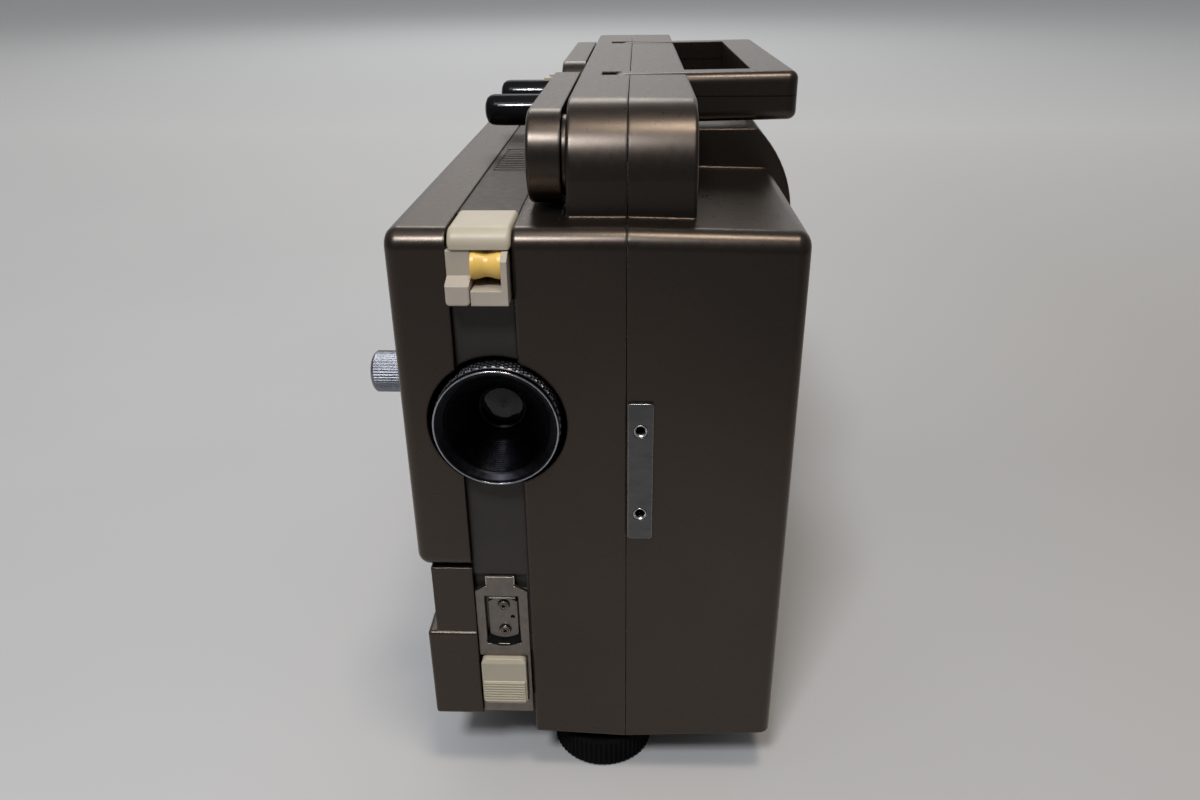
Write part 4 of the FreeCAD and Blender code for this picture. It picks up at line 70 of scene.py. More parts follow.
class Finish:
    """A node material that grows step by step round one Principled shader."""

    def __init__(self, name):
        self.material = bpy.data.materials.new(name)
        self.material.use_nodes = True
        self.tree = self.material.node_tree
        self.tree.nodes.clear()
        output = self.add("ShaderNodeOutputMaterial")
        self.shader = self.add("ShaderNodeBsdfPrincipled")
        self.tree.links.new(self.shader.outputs["BSDF"], output.inputs["Surface"])
        self.place = self.add("ShaderNodeTexCoord").outputs["Object"]

    def add(self, kind):
        return self.tree.nodes.new(kind)

    def put(self, socket, value):
        """Links an output, or sets a plain value."""
        if isinstance(value, bpy.types.NodeSocket):
            self.tree.links.new(value, socket)
        else:
            socket.default_value = value

    def set(self, **values):
        """Plain values or links on the shader's sockets, with _ for a space in the name."""
        for name, value in values.items():
            self.put(self.shader.inputs[name.replace("_", " ")], value)
        return self

    def stretched(self, scale):
        """The object's coordinates, stretched along its axes."""
        node = self.add("ShaderNodeMapping")
        self.put(node.inputs["Vector"], self.place)
        node.inputs["Scale"].default_value = scale
        return node.outputs["Vector"]

    def noise(self, scale, detail=2.0, roughness=0.5, stretch=None):
        node = self.add("ShaderNodeTexNoise")
        self.put(node.inputs["Vector"], self.stretched(stretch) if stretch else self.place)
        node.inputs["Scale"].default_value = scale
        node.inputs["Detail"].default_value = detail
        node.inputs["Roughness"].default_value = roughness
        return node.outputs["Fac"]

    def cells(self, scale):
        """A random value for each small cell, as in metal flakes."""
        node = self.add("ShaderNodeTexVoronoi")
        self.put(node.inputs["Vector"], self.place)
        node.inputs["Scale"].default_value = scale
        split = self.add("ShaderNodeSeparateColor")
        self.put(split.inputs["Color"], node.outputs["Color"])
        return split.outputs["Red"]

    def spread(self, value, low, high, start=0.0, end=1.0):
        """A value moved from start..end to low..high."""
        node = self.add("ShaderNodeMapRange")
        self.put(node.inputs["Value"], value)
        node.inputs["From Min"].default_value = start
        node.inputs["From Max"].default_value = end
        node.inputs["To Min"].default_value = low
        node.inputs["To Max"].default_value = high
        return node.outputs["Result"]

    def math(self, operation, first, second=0.0):
        node = self.add("ShaderNodeMath")
        node.operation = operation
        self.put(node.inputs[0], first)
        self.put(node.inputs[1], second)
        return node.outputs[0]

    def ramp(self, value, *stops):
        """A colour for each value; stops hold (position, colour)."""
        node = self.add("ShaderNodeValToRGB")
        points = node.color_ramp.elements
        while len(points) < len(stops):
            points.new(0.5)
        for point, (position, colour) in zip(points, stops):
            point.position = position
            point.color = (*colour, 1)
        self.put(node.inputs["Fac"], value)
        return node.outputs["Color"]

    def mix(self, share, first, second):
        """Two colours mixed by a value."""
        node = self.add("ShaderNodeMix")
        node.data_type = "RGBA"
        self.put(node.inputs["Factor"], share)
        for name, colour in (("A", first), ("B", second)):
            socket = [s for s in node.inputs if s.name == name and s.type == "RGBA"][0]
            self.put(socket, (*colour, 1) if isinstance(colour, tuple) else colour)
        return [s for s in node.outputs if s.type == "RGBA"][0]

    def axis(self, name):
        """One coordinate of the row frame."""
        node = self.add("ShaderNodeSeparateXYZ")
        self.put(node.inputs["Vector"], self.place)
        return node.outputs[name]

    def line(self, coordinate, middle, width):
        """1 within a thin band of a coordinate, else 0."""
        away = self.math("ABSOLUTE", self.math("SUBTRACT", coordinate, middle))
        return self.spread(away, 1.0, 0.0, width * 0.35, width * 0.65)

    def round_edges(self, radius):
        """The surface normal with every edge softened."""
        node = self.add("ShaderNodeBevel")
        node.samples = 6
        node.inputs["Radius"].default_value = radius
        self.softened = node.outputs["Normal"]
        return self

    def edges(self, radius, start=0.02, end=0.25):
        """1 on the very edges and 0 elsewhere."""
        node = self.add("ShaderNodeBevel")
        node.samples = 6
        node.inputs["Radius"].default_value = radius
        dot = self.add("ShaderNodeVectorMath")
        dot.operation = "DOT_PRODUCT"
        self.put(dot.inputs[0], node.outputs["Normal"])
        self.put(dot.inputs[1], self.add("ShaderNodeNewGeometry").outputs["Normal"])
        return self.spread(dot.outputs["Value"], 1.0, 0.0, 1.0 - end, 1.0 - start)

    def bump(self, height, distance, strength=1.0):
        """Relief on the normal, on top of the softened edges and earlier bumps."""
        node = self.add("ShaderNodeBump")
        node.inputs["Distance"].default_value = distance
        node.inputs["Strength"].default_value = strength
        self.put(node.inputs["Height"], height)
        before = getattr(self, "relief", None) or getattr(self, "softened", None)
        if before:
            self.put(node.inputs["Normal"], before)
        self.relief = node.outputs["Normal"]
        self.put(self.shader.inputs["Normal"], self.relief)
        return self


def metallic_paint(name, dark, light, roughness=(0.27, 0.32), metallic=0.9, coat=0.25,
                   seam_height=None):
    """Satin paint with fine metal flakes, brighter where edges are worn."""
    finish = Finish(name).round_edges(0.0010)
    flakes = finish.cells(3200)
    cloud = finish.noise(9, 3)
    colour = finish.ramp(finish.math("ADD", finish.math("MULTIPLY", flakes, 0.15),
                                     finish.math("MULTIPLY", cloud, 0.85)),
                         (0.2, dark), (0.8, light))
    worn = finish.math("MULTIPLY", finish.edges(0.0005),
                       finish.spread(finish.noise(60, 3), 0.3, 1.0, 0.42, 0.62))
    colour = finish.mix(finish.math("MULTIPLY", worn, 0.5), colour,
                        tuple(min(1.0, c * 4) for c in light))
    gloss = finish.spread(finish.noise(400, 2), *roughness, 0.3, 0.7)
    if seam_height is not None:
        seam = finish.line(finish.axis("Z"), seam_height, 0.0005)
        colour = finish.mix(seam, colour, tuple(c * 0.35 for c in dark))
    finish.set(Base_Color=colour, Metallic=metallic, Roughness=gloss, Coat_Weight=coat,
               Coat_Roughness=0.3, Specular_Tint=(1.0, 0.94, 0.87, 1))
    finish.bump(finish.noise(700, 2), 0.00001, 0.1)
    return finish.material


def moulded(name, dark, light, roughness=(0.32, 0.48), grain=900, depth=0.00003, specular=0.5,
            edge=None, coat=0.0):
    """Moulded plastic or rubber: slight clouds, fine grain, lighter edges, which are rubbed edges
    on the plastics and painted highlight on the black rubber and the foot.
    """
    finish = Finish(name).round_edges(0.0005)
    cloud = finish.noise(35, 4, 0.6)
    colour = finish.ramp(cloud, (0.3, dark), (0.7, light))
    if edge:
        colour = finish.mix(finish.math("MULTIPLY", finish.edges(0.0005), 0.5), colour, edge)
    finish.set(Base_Color=colour, Roughness=finish.spread(finish.noise(160, 3), *roughness),
               Specular_IOR_Level=specular, Coat_Weight=coat, Coat_Roughness=0.1)
    finish.bump(finish.noise(grain, 2), depth, 0.5)
    return finish.material


def metal(name, dark, light, roughness, stretch=None, scale=400, depth=0.00001, edge=None):
    """Bare or plated metal, brushed where stretch is given."""
    finish = Finish(name).round_edges(0.0004)
    streaks = finish.noise(scale, 3, 0.6, stretch)
    colour = finish.ramp(streaks, (0.3, dark), (0.7, light))
    if edge:
        colour = finish.mix(finish.math("MULTIPLY", finish.edges(0.0004), 0.6), colour, edge)
    finish.set(Base_Color=colour, Metallic=1.0,
               Roughness=finish.spread(streaks, *roughness, 0.3, 0.7))
    finish.bump(streaks, depth, 0.5)
    return finish.material


def glass(name, tint):
    """Coated glass."""
    finish = Finish(name)
    colour = finish.ramp(finish.noise(60, 2), (0.3, tint), (0.7, tuple(c * 0.92 for c in tint)))
    finish.set(Base_Color=colour, Roughness=0.03, IOR=1.45, Transmission_Weight=1.0)
    return finish.material


def knurl_finish():
    """Black anodised metal, worn bright on the tips of the knurl, and brighter there still as
    painted light, since the ring sits in shade.
    """
    finish = Finish("knurl_black")
    across = finish.math("SUBTRACT", finish.axis("X"), (LENS[0] + SHIFT.x) * MM)
    up = finish.math("SUBTRACT", finish.axis("Z"), LENS[1] * MM)
    radius = finish.math("SQRT", finish.math("ADD", finish.math("MULTIPLY", across, across),
                                             finish.math("MULTIPLY", up, up)))
    # Lighter tips: partly wear, partly painted light for the shaded ring.
    tips = finish.spread(radius, 0.0, 1.0, (KNURL_RADIUS - 0.5) * MM, (KNURL_RADIUS - 0.08) * MM)
    colour = finish.ramp(finish.noise(300, 3), (0.3, (0.012, 0.012, 0.014)),
                         (0.7, (0.022, 0.022, 0.025)))
    colour = finish.mix(finish.math("MULTIPLY", tips, 0.85), colour, (0.28, 0.28, 0.31))
    finish.set(Base_Color=colour, Metallic=1.0,
               Roughness=finish.spread(finish.noise(500, 2), 0.30, 0.42))
    finish.bump(finish.noise(900, 2), 0.00001, 0.4)
    return finish.material


BRONZE = ((0.040, 0.031, 0.0245), (0.064, 0.050, 0.0405))
looks = {
    "bronze_paint": metallic_paint("bronze_paint", *BRONZE),
    "bronze_frame": metallic_paint("bronze_frame", (0.040, 0.037, 0.034), (0.058, 0.053, 0.048),
                                   roughness=(0.46, 0.54), metallic=0.6, coat=0.0),
    "cream_plastic": moulded("cream_plastic", (0.42, 0.37, 0.285), (0.48, 0.435, 0.34),
                             roughness=(0.36, 0.5), edge=(0.72, 0.65, 0.45)),
    "yellow_plastic": moulded("yellow_plastic", (0.76, 0.49, 0.11), (0.84, 0.58, 0.17),
                              roughness=(0.28, 0.40)),
    "black_plastic": moulded("black_plastic", (0.005, 0.005, 0.006), (0.009, 0.009, 0.010),
                             roughness=(0.24, 0.4), specular=0.3, edge=(0.03, 0.03, 0.034)),
    # The black rubber's lighter edges are painted highlight on the tips of ribs.
    "black_rubber": moulded("black_rubber", (0.004, 0.004, 0.0044), (0.007, 0.007, 0.0076),
                            roughness=(0.5, 0.75), specular=0.02, depth=0.00006,
                            edge=(0.030, 0.030, 0.033)),
    "black_anodised": metal("black_anodised", (0.008, 0.008, 0.010), (0.015, 0.015, 0.018),
                            (0.30, 0.44), edge=(0.16, 0.16, 0.18)),
    "chrome": metal("chrome", (0.30, 0.32, 0.36), (0.44, 0.46, 0.50), (0.14, 0.28),
                    edge=(0.85, 0.86, 0.88)),
    "bright_steel": metal("bright_steel", (0.50, 0.51, 0.53), (0.64, 0.65, 0.67), (0.20, 0.36),
                          (0.06, 1, 1), 900),
    "plain_steel": metal("plain_steel", (0.16, 0.145, 0.13), (0.22, 0.20, 0.185), (0.30, 0.48),
                         scale=500),
    "plain_aluminium": metal("plain_aluminium", (0.55, 0.55, 0.56), (0.68, 0.68, 0.69),
                             (0.3, 0.48), (1, 0.1, 1), 500),
    "glass": glass("glass", (0.16, 0.17, 0.24)),
    "mirror": metal("mirror", (0.80, 0.78, 0.72), (0.88, 0.86, 0.80), (0.03, 0.08)),
    "ceramic": moulded("ceramic", (0.70, 0.68, 0.62), (0.80, 0.78, 0.73), roughness=(0.5, 0.7)),
    "copper_wire": metal("copper_wire", (0.42, 0.16, 0.06), (0.62, 0.27, 0.11), (0.25, 0.4),
                         (0.2, 1, 8), 700, 0.00008),
    "green_board": moulded("green_board", (0.03, 0.12, 0.05), (0.05, 0.17, 0.08),
                           roughness=(0.3, 0.5)),
    "speaker_paper": moulded("speaker_paper", (0.03, 0.03, 0.03), (0.06, 0.058, 0.055),
                             roughness=(0.7, 0.9), depth=0.0001),
}
grey_cream = moulded("grey_cream", (0.40, 0.352, 0.293), (0.46, 0.41, 0.346),
                     edge=(0.62, 0.55, 0.44))
spindle_black = moulded("spindle_black", (0.005, 0.005, 0.006), (0.009, 0.009, 0.010),
                        roughness=(0.20, 0.28), specular=0.04, edge=(0.02, 0.02, 0.022))
# The foot's lighter edges are painted highlight on its ribs.
foot_black = moulded("foot_black", (0.004, 0.004, 0.0045), (0.008, 0.008, 0.0085),
                     roughness=(0.5, 0.7), specular=0.0, edge=(0.05, 0.05, 0.054))
lens_black = metal("lens_black", (0.004, 0.004, 0.0055), (0.008, 0.008, 0.0105), (0.24, 0.32))
knurl_black = knurl_finish()
brown_steel = metal("brown_steel", (0.17, 0.14, 0.11), (0.25, 0.21, 0.17), (0.30, 0.42),
                    scale=500, edge=(0.5, 0.44, 0.36))
# A lighter copy of the cutter plate's nickel, for the rods along its edges: painted highlight.
highlight_nickel = metal("highlight_nickel", (0.44, 0.40, 0.35), (0.56, 0.52, 0.46), (0.30, 0.42),
                    scale=500)
# Nodes whose look differs from their slot's
special = {
    "handle": metallic_paint("bronze_handle", *BRONZE, seam_height=HANDLE_SEAM * MM),
    "guide_block": grey_cream,
    "roller_bracket": grey_cream,
    "front_spindle": spindle_black,
    "rear_spindle": spindle_black,
    "foot_wheel": foot_black,
    "push_button": moulded("button_cream", (0.35, 0.315, 0.24), (0.41, 0.37, 0.29),
                           edge=(0.68, 0.59, 0.36)),
    # The front plate's nickel is darkened as painted shade for the dark surroundings it reflects,
    # and its very light edges are painted highlight.
    "front_plate": metal("nickel_painted_shade_and_highlight", (0.10, 0.10, 0.105), (0.135, 0.135, 0.14),
                         (0.26, 0.36), (0.3, 1, 1), 400, edge=(0.85, 0.85, 0.87)),
    "focus_knob": metal("worn_chrome", (0.15, 0.16, 0.185), (0.27, 0.28, 0.31), (0.30, 0.44),
                        (1, 0.2, 0.2), 1600, edge=(0.6, 0.62, 0.66)),
    "cutter_plate": metal("cutter_nickel", (0.165, 0.145, 0.130), (0.225, 0.20, 0.18),
                          (0.34, 0.46), scale=300, edge=(0.62, 0.56, 0.47)),
}
for part in frame["record"]["subparts"]:
    thing = frame["nodes"][part["node"]]
    thing.data.materials.clear()
    thing.data.materials.append(special.get(part["node"], looks[part["material_slot"]]))


class Piece:
    """A mesh drawn in the part's millimetres, then put into the frame on a body."""

    def __init__(self, name):
        self.name = name
        self.shape = bmesh.new()

    def turned(self, axis, centre, profile, sides=64, closed=True):
        """A profile of (along, radius) points turned round an axis."""
        rows = []
        for along, radius in profile:
            row = []
            for number in range(sides):
                angle = 2 * math.pi * number / sides
                place = [centre[0] + radius * math.cos(angle),
                         centre[1] + radius * math.sin(angle)]
                place.insert("XYZ".index(axis), along)
                row.append(self.shape.verts.new(place))
            rows.append(row)
        self.skin(rows, closed)
        return self

    def skin(self, rows, closed):
        """Faces between rings of points."""
        pairs = list(zip(rows, rows[1:]))
        if closed:
            pairs.append((rows[-1], rows[0]))
        for low, high in pairs:
            for number in range(len(low)):
                after = (number + 1) % len(low)
                self.shape.faces.new((low[number], low[after], high[after], high[number]))

    def slab(self, x, y, z, edge=0.2, turn=None):
        """A block from three (low, high) pairs with soft edges, and turned by a matrix."""
        made = bmesh.ops.create_cube(self.shape, size=1)["verts"]
        middle = Vector([(low + high) / 2 for low, high in (x, y, z)])
        sizes = Vector([high - low for low, high in (x, y, z)])
        bmesh.ops.scale(self.shape, vec=sizes, verts=made)
        edges = {e for v in made for e in v.link_edges}
        made_faces = {f for v in made for f in v.link_faces}
        result = bmesh.ops.bevel(self.shape, geom=list(edges), offset=edge, segments=2,
                                 affect="EDGES", profile=0.6)
        points = {v for f in result["faces"] for v in f.verts}
        points |= {v for f in made_faces if f.is_valid for v in f.verts}
        bmesh.ops.translate(self.shape, vec=middle, verts=list(points))
        if turn:
            bmesh.ops.transform(self.shape, matrix=turn, verts=list(points))
        return self

    def done(self, body, look, replaced=()):
        """The finished object, riding on a body."""
        bmesh.ops.remove_doubles(self.shape, verts=self.shape.verts[:], dist=1e-4)
        bmesh.ops.dissolve_degenerate(self.shape, edges=self.shape.edges[:], dist=1e-4)
        bmesh.ops.recalc_face_normals(self.shape, faces=self.shape.faces[:])
        bmesh.ops.transform(self.shape, matrix=TO_FRAME, verts=self.shape.verts[:])
        mesh = bpy.data.meshes.new(self.name)
        self.shape.to_mesh(mesh)
        self.shape.free()
        mesh.materials.append(look)
        for face in mesh.polygons:
            face.use_smooth = True
        mesh.set_sharp_from_angle(angle=math.radians(35))
        thing = bpy.data.objects.new(self.name, mesh)
        bpy.context.scene.collection.objects.link(thing)
        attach(thing, body)
        if replaced:
            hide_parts(*replaced)
        return thing


def knurled_ring():
    """The zoom ring with a diamond knurl between two plain edges."""
    piece = Piece("zoom_ring_knurled")
    start, end = -1.3, 11.7
    inside, border = 17.65, 0.8
    count, fine, rows = 48, 8, 5
    pitch = (end - start - 2 * border) / rows

    def groove(share):
        return max(0.0, 1.0 - abs(share % 1.0 - 0.5) / 0.3)

    low_edge, high_edge = KNURL_RADIUS - 0.7, KNURL_RADIUS - 0.3
    profile = [(start, inside), (start, low_edge), (start + 0.5, high_edge)]
    profile += [(start + border + pitch * step / fine, None) for step in range(rows * fine + 1)]
    profile += [(end - 0.5, high_edge), (end, low_edge), (end, inside)]
    rings = []
    for along, radius in profile:
        ring = []
        for number in range(count * fine):
            round_share = number / fine
            along_share = (along - start - border) / pitch
            cut = max(groove(round_share + along_share), groove(round_share - along_share))
            reach = radius or KNURL_RADIUS - KNURL_DEPTH * cut
            angle = 2 * math.pi * number / (count * fine)
            ring.append(piece.shape.verts.new((LENS[0] + reach * math.cos(angle), along,
                                               LENS[1] + reach * math.sin(angle))))
        rings.append(ring)
    piece.skin(rings, True)
    piece.done("zoom_ring", knurl_black, ["zoom_ring"])


def lens_trim():
    """Bright rim line, stepped inner cone and the ring that holds the front glass."""
    rim = Piece("lens_rim_line")
    middle = RIM_RADIUS - 0.3
    rim.turned("Y", LENS, [(RIM_FRONT + 0.15 + 0.3 * math.sin(math.radians(a)),
                            middle + 0.32 * math.cos(math.radians(a)))
                           for a in range(0, 360, 45)], 128)
    rim.done("lens", looks["chrome"])
    cone = Piece("lens_inner_steps")
    steps = 16
    profile = []
    for number in range(steps + 1):
        share = number / steps
        along = -1.6 + 9.3 * share
        radius = 16.75 - 6.9 * share
        profile += [(along, radius), (along + 0.06, radius - 0.16)]
    profile += [(8.4, 10.3), (-1.3, 17.5)]
    cone.turned("Y", LENS, profile, 96)
    cone.done("lens", lens_black)
    ring = Piece("lens_glass_ring")
    ring.turned("Y", LENS, [(12.9, 8.25), (12.9, 7.3), (13.3, 6.9), (14.3, 6.9), (14.3, 8.25)], 72)
    ring.done("lens", lens_black)
    line = Piece("lens_glass_line")
    line.turned("Y", LENS, [(12.8, 7.75), (12.7, 7.65), (12.7, 7.45), (12.8, 7.35), (12.95, 7.5)],
                72)
    line.done("lens", looks["black_anodised"])


def spindle_keys(name, body, along, latch_angle):
    """Bright keys let into a black reel spindle, and the cream latch at its root."""
    axis = (along, ARM_HEIGHT)
    keys = Piece(name + "_keys")
    for number in range(3):
        turn = (Matrix.Translation((0, *axis))
                @ Matrix.Rotation(math.radians(157 + 120 * number), 4, "X"))
        keys.slab((-55.0, -35.0), (5.6, 6.55), (-0.45, 0.45), 0.15, turn)
    keys.done(body, looks["chrome"])
    latch = Piece(name + "_latch")
    turn = Matrix.Translation((0, *axis)) @ Matrix.Rotation(math.radians(latch_angle), 4, "X")
    latch.slab((-40.5, -34.0), (5.2, 7.6), (-1.9, 1.9), 0.5, turn)
    latch.slab((-38.0, -34.0), (7.2, 9.0), (-1.6, 1.6), 0.5, turn)
    latch.done(body, looks["cream_plastic"])


def recessed_screw(piece, axis, centre, face, outward, radius):
    """A pan head with a ring groove and a hexagonal socket."""
    def out(distance):
        return face + outward * distance
    piece.turned(axis, centre, [
        (out(-0.3), radius), (out(0.25), radius), (out(0.45), radius * 0.9),
        (out(0.45), radius * 0.74), (out(0.2), radius * 0.70), (out(0.2), radius * 0.62),
        (out(0.45), radius * 0.58), (out(0.45), radius * 0.42)], 48, closed=False)
    piece.turned(axis, centre, [(out(0.45), radius * 0.42), (out(-0.1), radius * 0.36),
                                (out(-0.1), 0)], 6, closed=False)


def cutter_trim():
    """Screw heads with painted shade: black rings for the groove in each head and the gap round it,
    and a black hexagon for the socket; the dark lip under the block's round end; bright edges of
    round rods in a nickel lighter than the plate's, as painted highlight.
    """
    heads = Piece("cutter_screw_heads")
    rings = Piece("cutter_screw_painted_shade")
    for height in (77.4, 66.2):
        centre = (-44.4, height)
        heads.turned("Y", centre, [(2.5, 1.9), (2.32, 1.9), (2.22, 1.8), (2.22, 0.74), (2.5, 0.74)],
                     48)
        # Black rings and hexagon: painted shade for the grooves, the gaps round the heads and the
        # sockets.
        rings.turned("Y", centre, [(3.6, 2.25), (3.42, 2.25), (3.42, 1.93), (3.6, 1.93)], 48)
        rings.turned("Y", centre, [(2.3, 1.42), (2.19, 1.42), (2.19, 1.2), (2.3, 1.2)], 48)
        rings.turned("Y", centre, [(2.3, 0.78), (2.2, 0.78), (2.2, 0.01)], 6, closed=False)
    heads.done("housing", brown_steel)
    rings.done("housing", looks["black_rubber"])
    lip = Piece("cutter_lip")
    middle_x, middle_z = -44.8, 71.3
    sides, half_angle = 32, 36
    arcs = []
    for number in range(sides + 1):
        angle = math.radians(-90 - half_angle + 2 * half_angle * number / sides)
        arc = []
        for radius, along in ((9.15, 4.6), (9.4, 3.3), (10.2, 2.1), (10.9, 1.3), (11.2, 1.35),
                              (11.2, 3.4), (10.0, 5.4)):
            arc.append(lip.shape.verts.new((middle_x + radius * math.cos(angle), along,
                                            middle_z + radius * math.sin(angle))))
        arcs.append(arc)
    lip.skin(arcs, False)
    lip.shape.faces.new(arcs[0])
    lip.shape.faces.new(arcs[-1])
    lip.done("housing", looks["black_rubber"])
    # Round rods along the plate's edges catch real highlights; their nickel, lighter than the
    # plate's, is painted highlight.
    edges = Piece("cutter_bright_edges")
    slope = Matrix.Translation((0, 3.55, 81.0)) @ Matrix.Rotation(math.radians(-44), 4, "X")
    edges.slab((-49.6, -40.0), (-0.4, 0.4), (-0.9, 0.9), 0.15, slope)
    for across in (-50.0, -40.1):
        edges.turned("Z", (across, 2.2), [(87.0, 0.01), (87.1, 0.36), (90.7, 0.36), (90.9, 0.01)],
                     16, closed=False)
    edges.done("housing", highlight_nickel)


def plate_trim():
    """Bright countersunk rims round the two holes of the front plate."""
    rims = Piece("plate_hole_rims")
    for height in (119.65, 150.95):
        rims.turned("Y", (4.6, height), [(-1.15, 2.25), (-1.32, 2.15), (-1.32, 1.95), (-0.8, 1.5),
                                         (-0.6, 1.62)], 48)
    rims.done("housing", looks["bright_steel"])


def return_spring():
    """The push button's spring, drawn at its rest length; on the projector it gets shorter as the
    button goes in.
    """
    piece = Piece("button_spring_coil")
    centre_x, centre_z, radius, wire = -45.0, 44.85, 3.4, 0.5
    turns, steps, sides = 6, 32, 10
    front, back, seat = 7.8, 19.5, 20.0
    rings = []
    for step in range(turns * steps + 1):
        angle = 2 * math.pi * step / steps
        along = front + (back - front) * step / (turns * steps)
        ring = []
        for number in range(sides):
            side = 2 * math.pi * number / sides
            reach = radius + wire * math.cos(side)
            ring.append(piece.shape.verts.new((centre_x + reach * math.cos(angle),
                                               along + wire * math.sin(side),
                                               centre_z + reach * math.sin(angle))))
        rings.append(ring)
    piece.skin(rings, False)
    piece.shape.faces.new(rings[0])
    piece.shape.faces.new(rings[-1])
    coil = piece.done("housing", looks["plain_steel"], ["button_spring"])
    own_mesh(coil)


def knob_marks():
    """Cream lines let into the operator's knobs."""
    for name, along, radius in (("control_knob", 74.0, 17.0), ("volume_knob", 130.0, 8.0),
                                ("tone_knob", 160.0, 8.0)):
        mark = Piece(name + "_line")
        mark.slab((-82.5, -82.05), (along - 0.55, along + 0.55),
                  (KNOB_HEIGHT + radius * 0.36, KNOB_HEIGHT + radius - 2.5), 0.1)
        mark.done(name, looks["cream_plastic"])


def speaker_grille():
    """Wire mesh between the speaker's rim and the slots of the right side."""
    piece = Piece("speaker_mesh")
    middle_y, middle_z, radius, wire = 240.0, 150.0, 26.6, 0.22
    for number in range(-10, 11):
        offset = number * 2.5
        half = math.sqrt(radius ** 2 - offset ** 2)
        piece.slab((60.75, 60.95), (middle_y + offset - wire, middle_y + offset + wire),
                   (middle_z - half, middle_z + half), 0.05)
        piece.slab((60.9, 61.1), (middle_y - half, middle_y + half),
                   (middle_z + offset - wire, middle_z + offset + wire), 0.05)
    piece.done("housing", looks["black_anodised"])


def back_trim():
    """Bright pins and contacts in the rear panel, and its corner screws."""
    panel_face = 306.5
    contacts = Piece("panel_contacts")
    for x in (15.0, 28.0):
        contacts.turned("Y", (x, 66.0), [(295.6, 1.35), (303.7, 1.35), (304.6, 0.9), (304.8, 0.01)],
                        24, closed=False)
    for number in range(3):
        centre = (-12.0, 70.0 + 26.0 * number)
        contacts.turned("Y", centre, [(305.2, 6.4), (306.0, 6.4), (306.3, 6.0), (306.3, 5.5),
                                      (305.2, 5.3)], 48)
        contacts.turned("Y", centre, [(305.2, 3.1), (307.0, 3.1), (307.3, 2.7), (307.3, 2.0),
                                      (305.4, 1.9), (305.4, 0.01)], 32, closed=False)
    contacts.done("housing", looks["chrome"])
    screws = Piece("panel_screws")
    for x in (-23.0, 41.0):
        for z in (47.0, 183.0):
            recessed_screw(screws, "Y", (x, z), panel_face, 1, 2.6)
    screws.done("housing", looks["bright_steel"])


def softened_nodes():
    """Moulded and cast parts get real round edges."""
    for name, width in (("guide_block", 0.9), ("roller_bracket", 0.5), ("inlet_cap", 0.45),
                        ("front_plate", 0.25)):
        soften = frame["nodes"][name].modifiers.new("round_edges", "BEVEL")
        soften.width = width * MM
        soften.segments = 3
        soften.limit_method = "ANGLE"
        soften.angle_limit = math.radians(40)


knurled_ring()
lens_trim()
spindle_keys("front_spindle", "front_spindle", 135.0, -90)
spindle_keys("rear_spindle", "rear_spindle", 186.0, 90)
cutter_trim()
plate_trim()
return_spring()
knob_marks()
speaker_grille()
back_trim()
softened_nodes()


# Where the lamps point
OBJECT = Vector((0, 0, 0.12))
# Row frame Y between which the floor goes from the painted shade in front to pale
FLOOR_DARK = -0.66
FLOOR_PALE = -0.30
# World brightness by direction: from behind the camera to behind the object
WORLD_LEVELS = ((0.28, 0.11), (0.45, 0.22), (0.74, 0.24), (0.96, 0.56))


def plain_floor():
    """A pale floor, wide enough for every view: darker and warmer to the right, with painted shade
    on the band in front and painted light on the paler far floor.
    """
    mesh = bpy.data.meshes.new("floor")
    shape = bmesh.new()
    bmesh.ops.create_grid(shape, x_segments=8, y_segments=8, size=30.0)
    shape.to_mesh(mesh)
    shape.free()
    floor = bpy.data.objects.new("floor", mesh)
    bpy.context.scene.collection.objects.link(floor)
    finish = Finish("pale_floor")
    colour = finish.ramp(finish.noise(2.5, 3), (0.35, (0.45, 0.455, 0.465)),
                         (0.65, (0.48, 0.482, 0.49)))
    right = finish.spread(finish.axis("X"), 0.0, 1.0, -0.15, 0.45)
    colour = finish.mix(right, colour, (0.36, 0.352, 0.34))
    # The darker band in front, greyest to the right, is painted shade where the object's front
    # faces see it.
    front = finish.spread(finish.axis("X"), 0.0, 1.0, -0.5, 0.5)
    near = finish.spread(finish.axis("Y"), 1.0, 0.0, FLOOR_DARK, FLOOR_PALE)
    colour = finish.mix(near, colour,
                        finish.mix(front, (0.26, 0.255, 0.25), (0.10, 0.10, 0.101)))
    # The paler far floor is painted light, standing in for lamp light that doesn't reach so far.
    far = finish.spread(finish.axis("Y"), 0.0, 1.0, 0.1, 1.4)
    colour = finish.mix(far, colour, (0.70, 0.70, 0.69))
    finish.set(Base_Color=colour, Roughness=0.65)
    finish.bump(finish.noise(900, 2), 0.00002, 0.3)
    mesh.materials.append(finish.material)


def lamp(name, place, size, power, colour, target=OBJECT):
    """A soft square lamp that points at the object, or at another place."""
    data = bpy.data.lights.new(name, "AREA")
    data.size = size
    data.energy = power
    data.color = colour
    thing = bpy.data.objects.new(name, data)
    thing.location = place
    thing.rotation_euler = (target - Vector(place)).to_track_quat("-Z", "Y").to_euler()
    bpy.context.scene.collection.objects.link(thing)


def soft_sun(name, place, spread, power):
    """An even light from far away, soft by its width in degrees."""
    data = bpy.data.lights.new(name, "SUN")
    data.angle = math.radians(spread)
    data.energy = power
    thing = bpy.data.objects.new(name, data)
    thing.rotation_euler = (-Vector(place)).to_track_quat("-Z", "Y").to_euler()
    bpy.context.scene.collection.objects.link(thing)


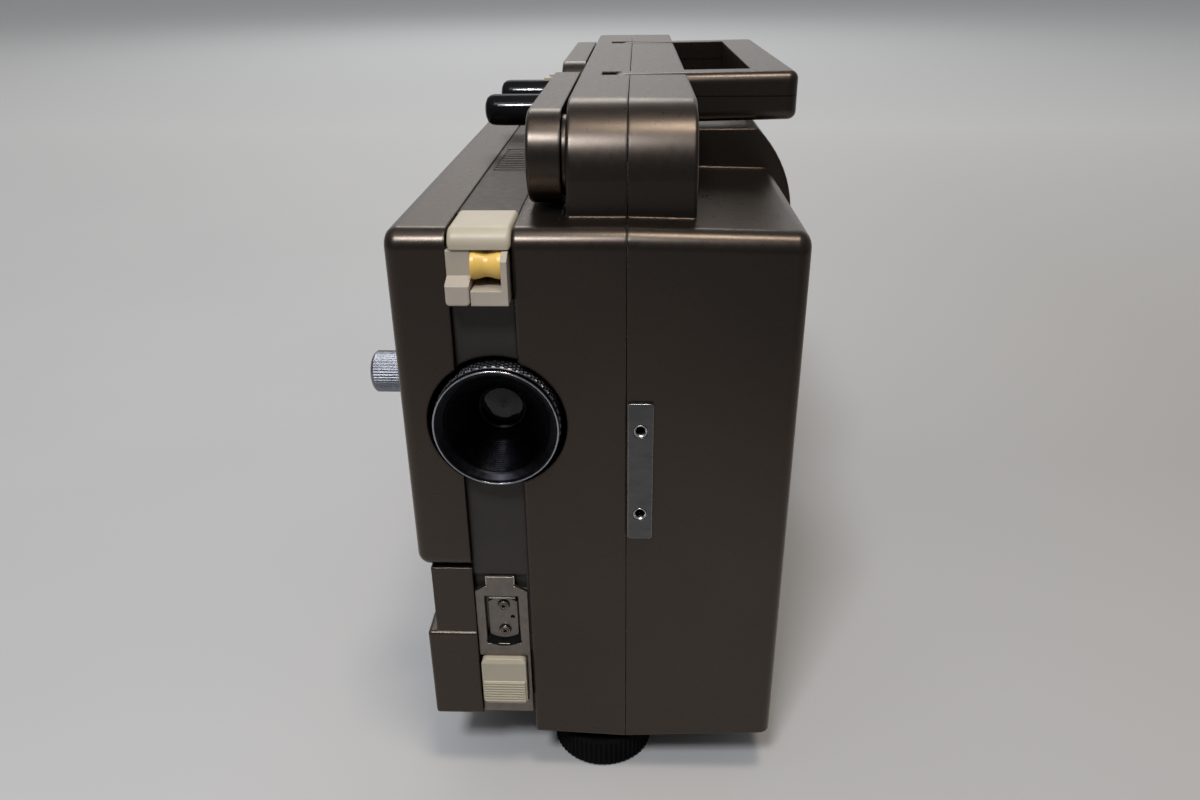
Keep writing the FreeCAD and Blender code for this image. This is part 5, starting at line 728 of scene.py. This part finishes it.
def studio():
    """Soft lamps from the front left and from above, and a world that is paler behind."""
    world = bpy.data.worlds.new("pale_world")
    bpy.context.scene.world = world
    world.use_nodes = True
    tree = world.node_tree
    around = tree.nodes["Background"]
    around.inputs["Color"].default_value = (0.95, 0.96, 1.0, 1)
    direction = tree.nodes.new("ShaderNodeSeparateXYZ")
    tree.links.new(tree.nodes.new("ShaderNodeTexCoord").outputs["Generated"],
                   direction.inputs["Vector"])
    share = tree.nodes.new("ShaderNodeMapRange")
    share.inputs["From Min"].default_value = -1
    level = tree.nodes.new("ShaderNodeValToRGB")
    level.color_ramp.interpolation = "EASE"
    points = level.color_ramp.elements
    while len(points) < len(WORLD_LEVELS):
        points.new(0.5)
    for point, (position, strength) in zip(points, WORLD_LEVELS):
        point.position = position
        point.color = (strength, strength, strength, 1)
    tree.links.new(direction.outputs["Y"], share.inputs["Value"])
    tree.links.new(share.outputs["Result"], level.inputs["Fac"])
    tree.links.new(level.outputs["Color"], around.inputs["Strength"])
    soft_sun("overhead", (-0.25, -0.3, 1.0), 60, 0.3)
    lamp("left_lamp", (-0.40, -1.35, 1.92), 0.4, 31, (0.95, 0.97, 1.0))
    lamp("ceiling_lamp", (0.26, -0.50, 2.2), 0.4, 15.5, (1.0, 0.88, 0.74))
    lamp("far_lamp", (-0.4, 3.4, 2.4), 1.6, 28, (0.97, 0.98, 1.0), Vector((-0.2, 3.0, 0)))


def photo_camera():
    """The photograph's viewing angle."""
    data = bpy.data.cameras.new("camera")
    data.sensor_width = 36
    data.lens = 27.6
    data.clip_start = 0.01
    camera = bpy.data.objects.new("camera", data)
    right = Vector((0.99925, 0.03727, -0.01003))
    up = Vector((-0.00696, 0.42956, 0.90301))
    back = right.cross(up)
    turn = Matrix((right, up, back)).transposed().to_4x4()
    camera.matrix_world = Matrix.Translation((0.0166, -0.417, 0.2877)) @ turn
    bpy.context.scene.collection.objects.link(camera)
    bpy.context.scene.camera = camera


plain_floor()
studio()
photo_camera()
bpy.context.scene.view_settings.view_transform = "Standard"
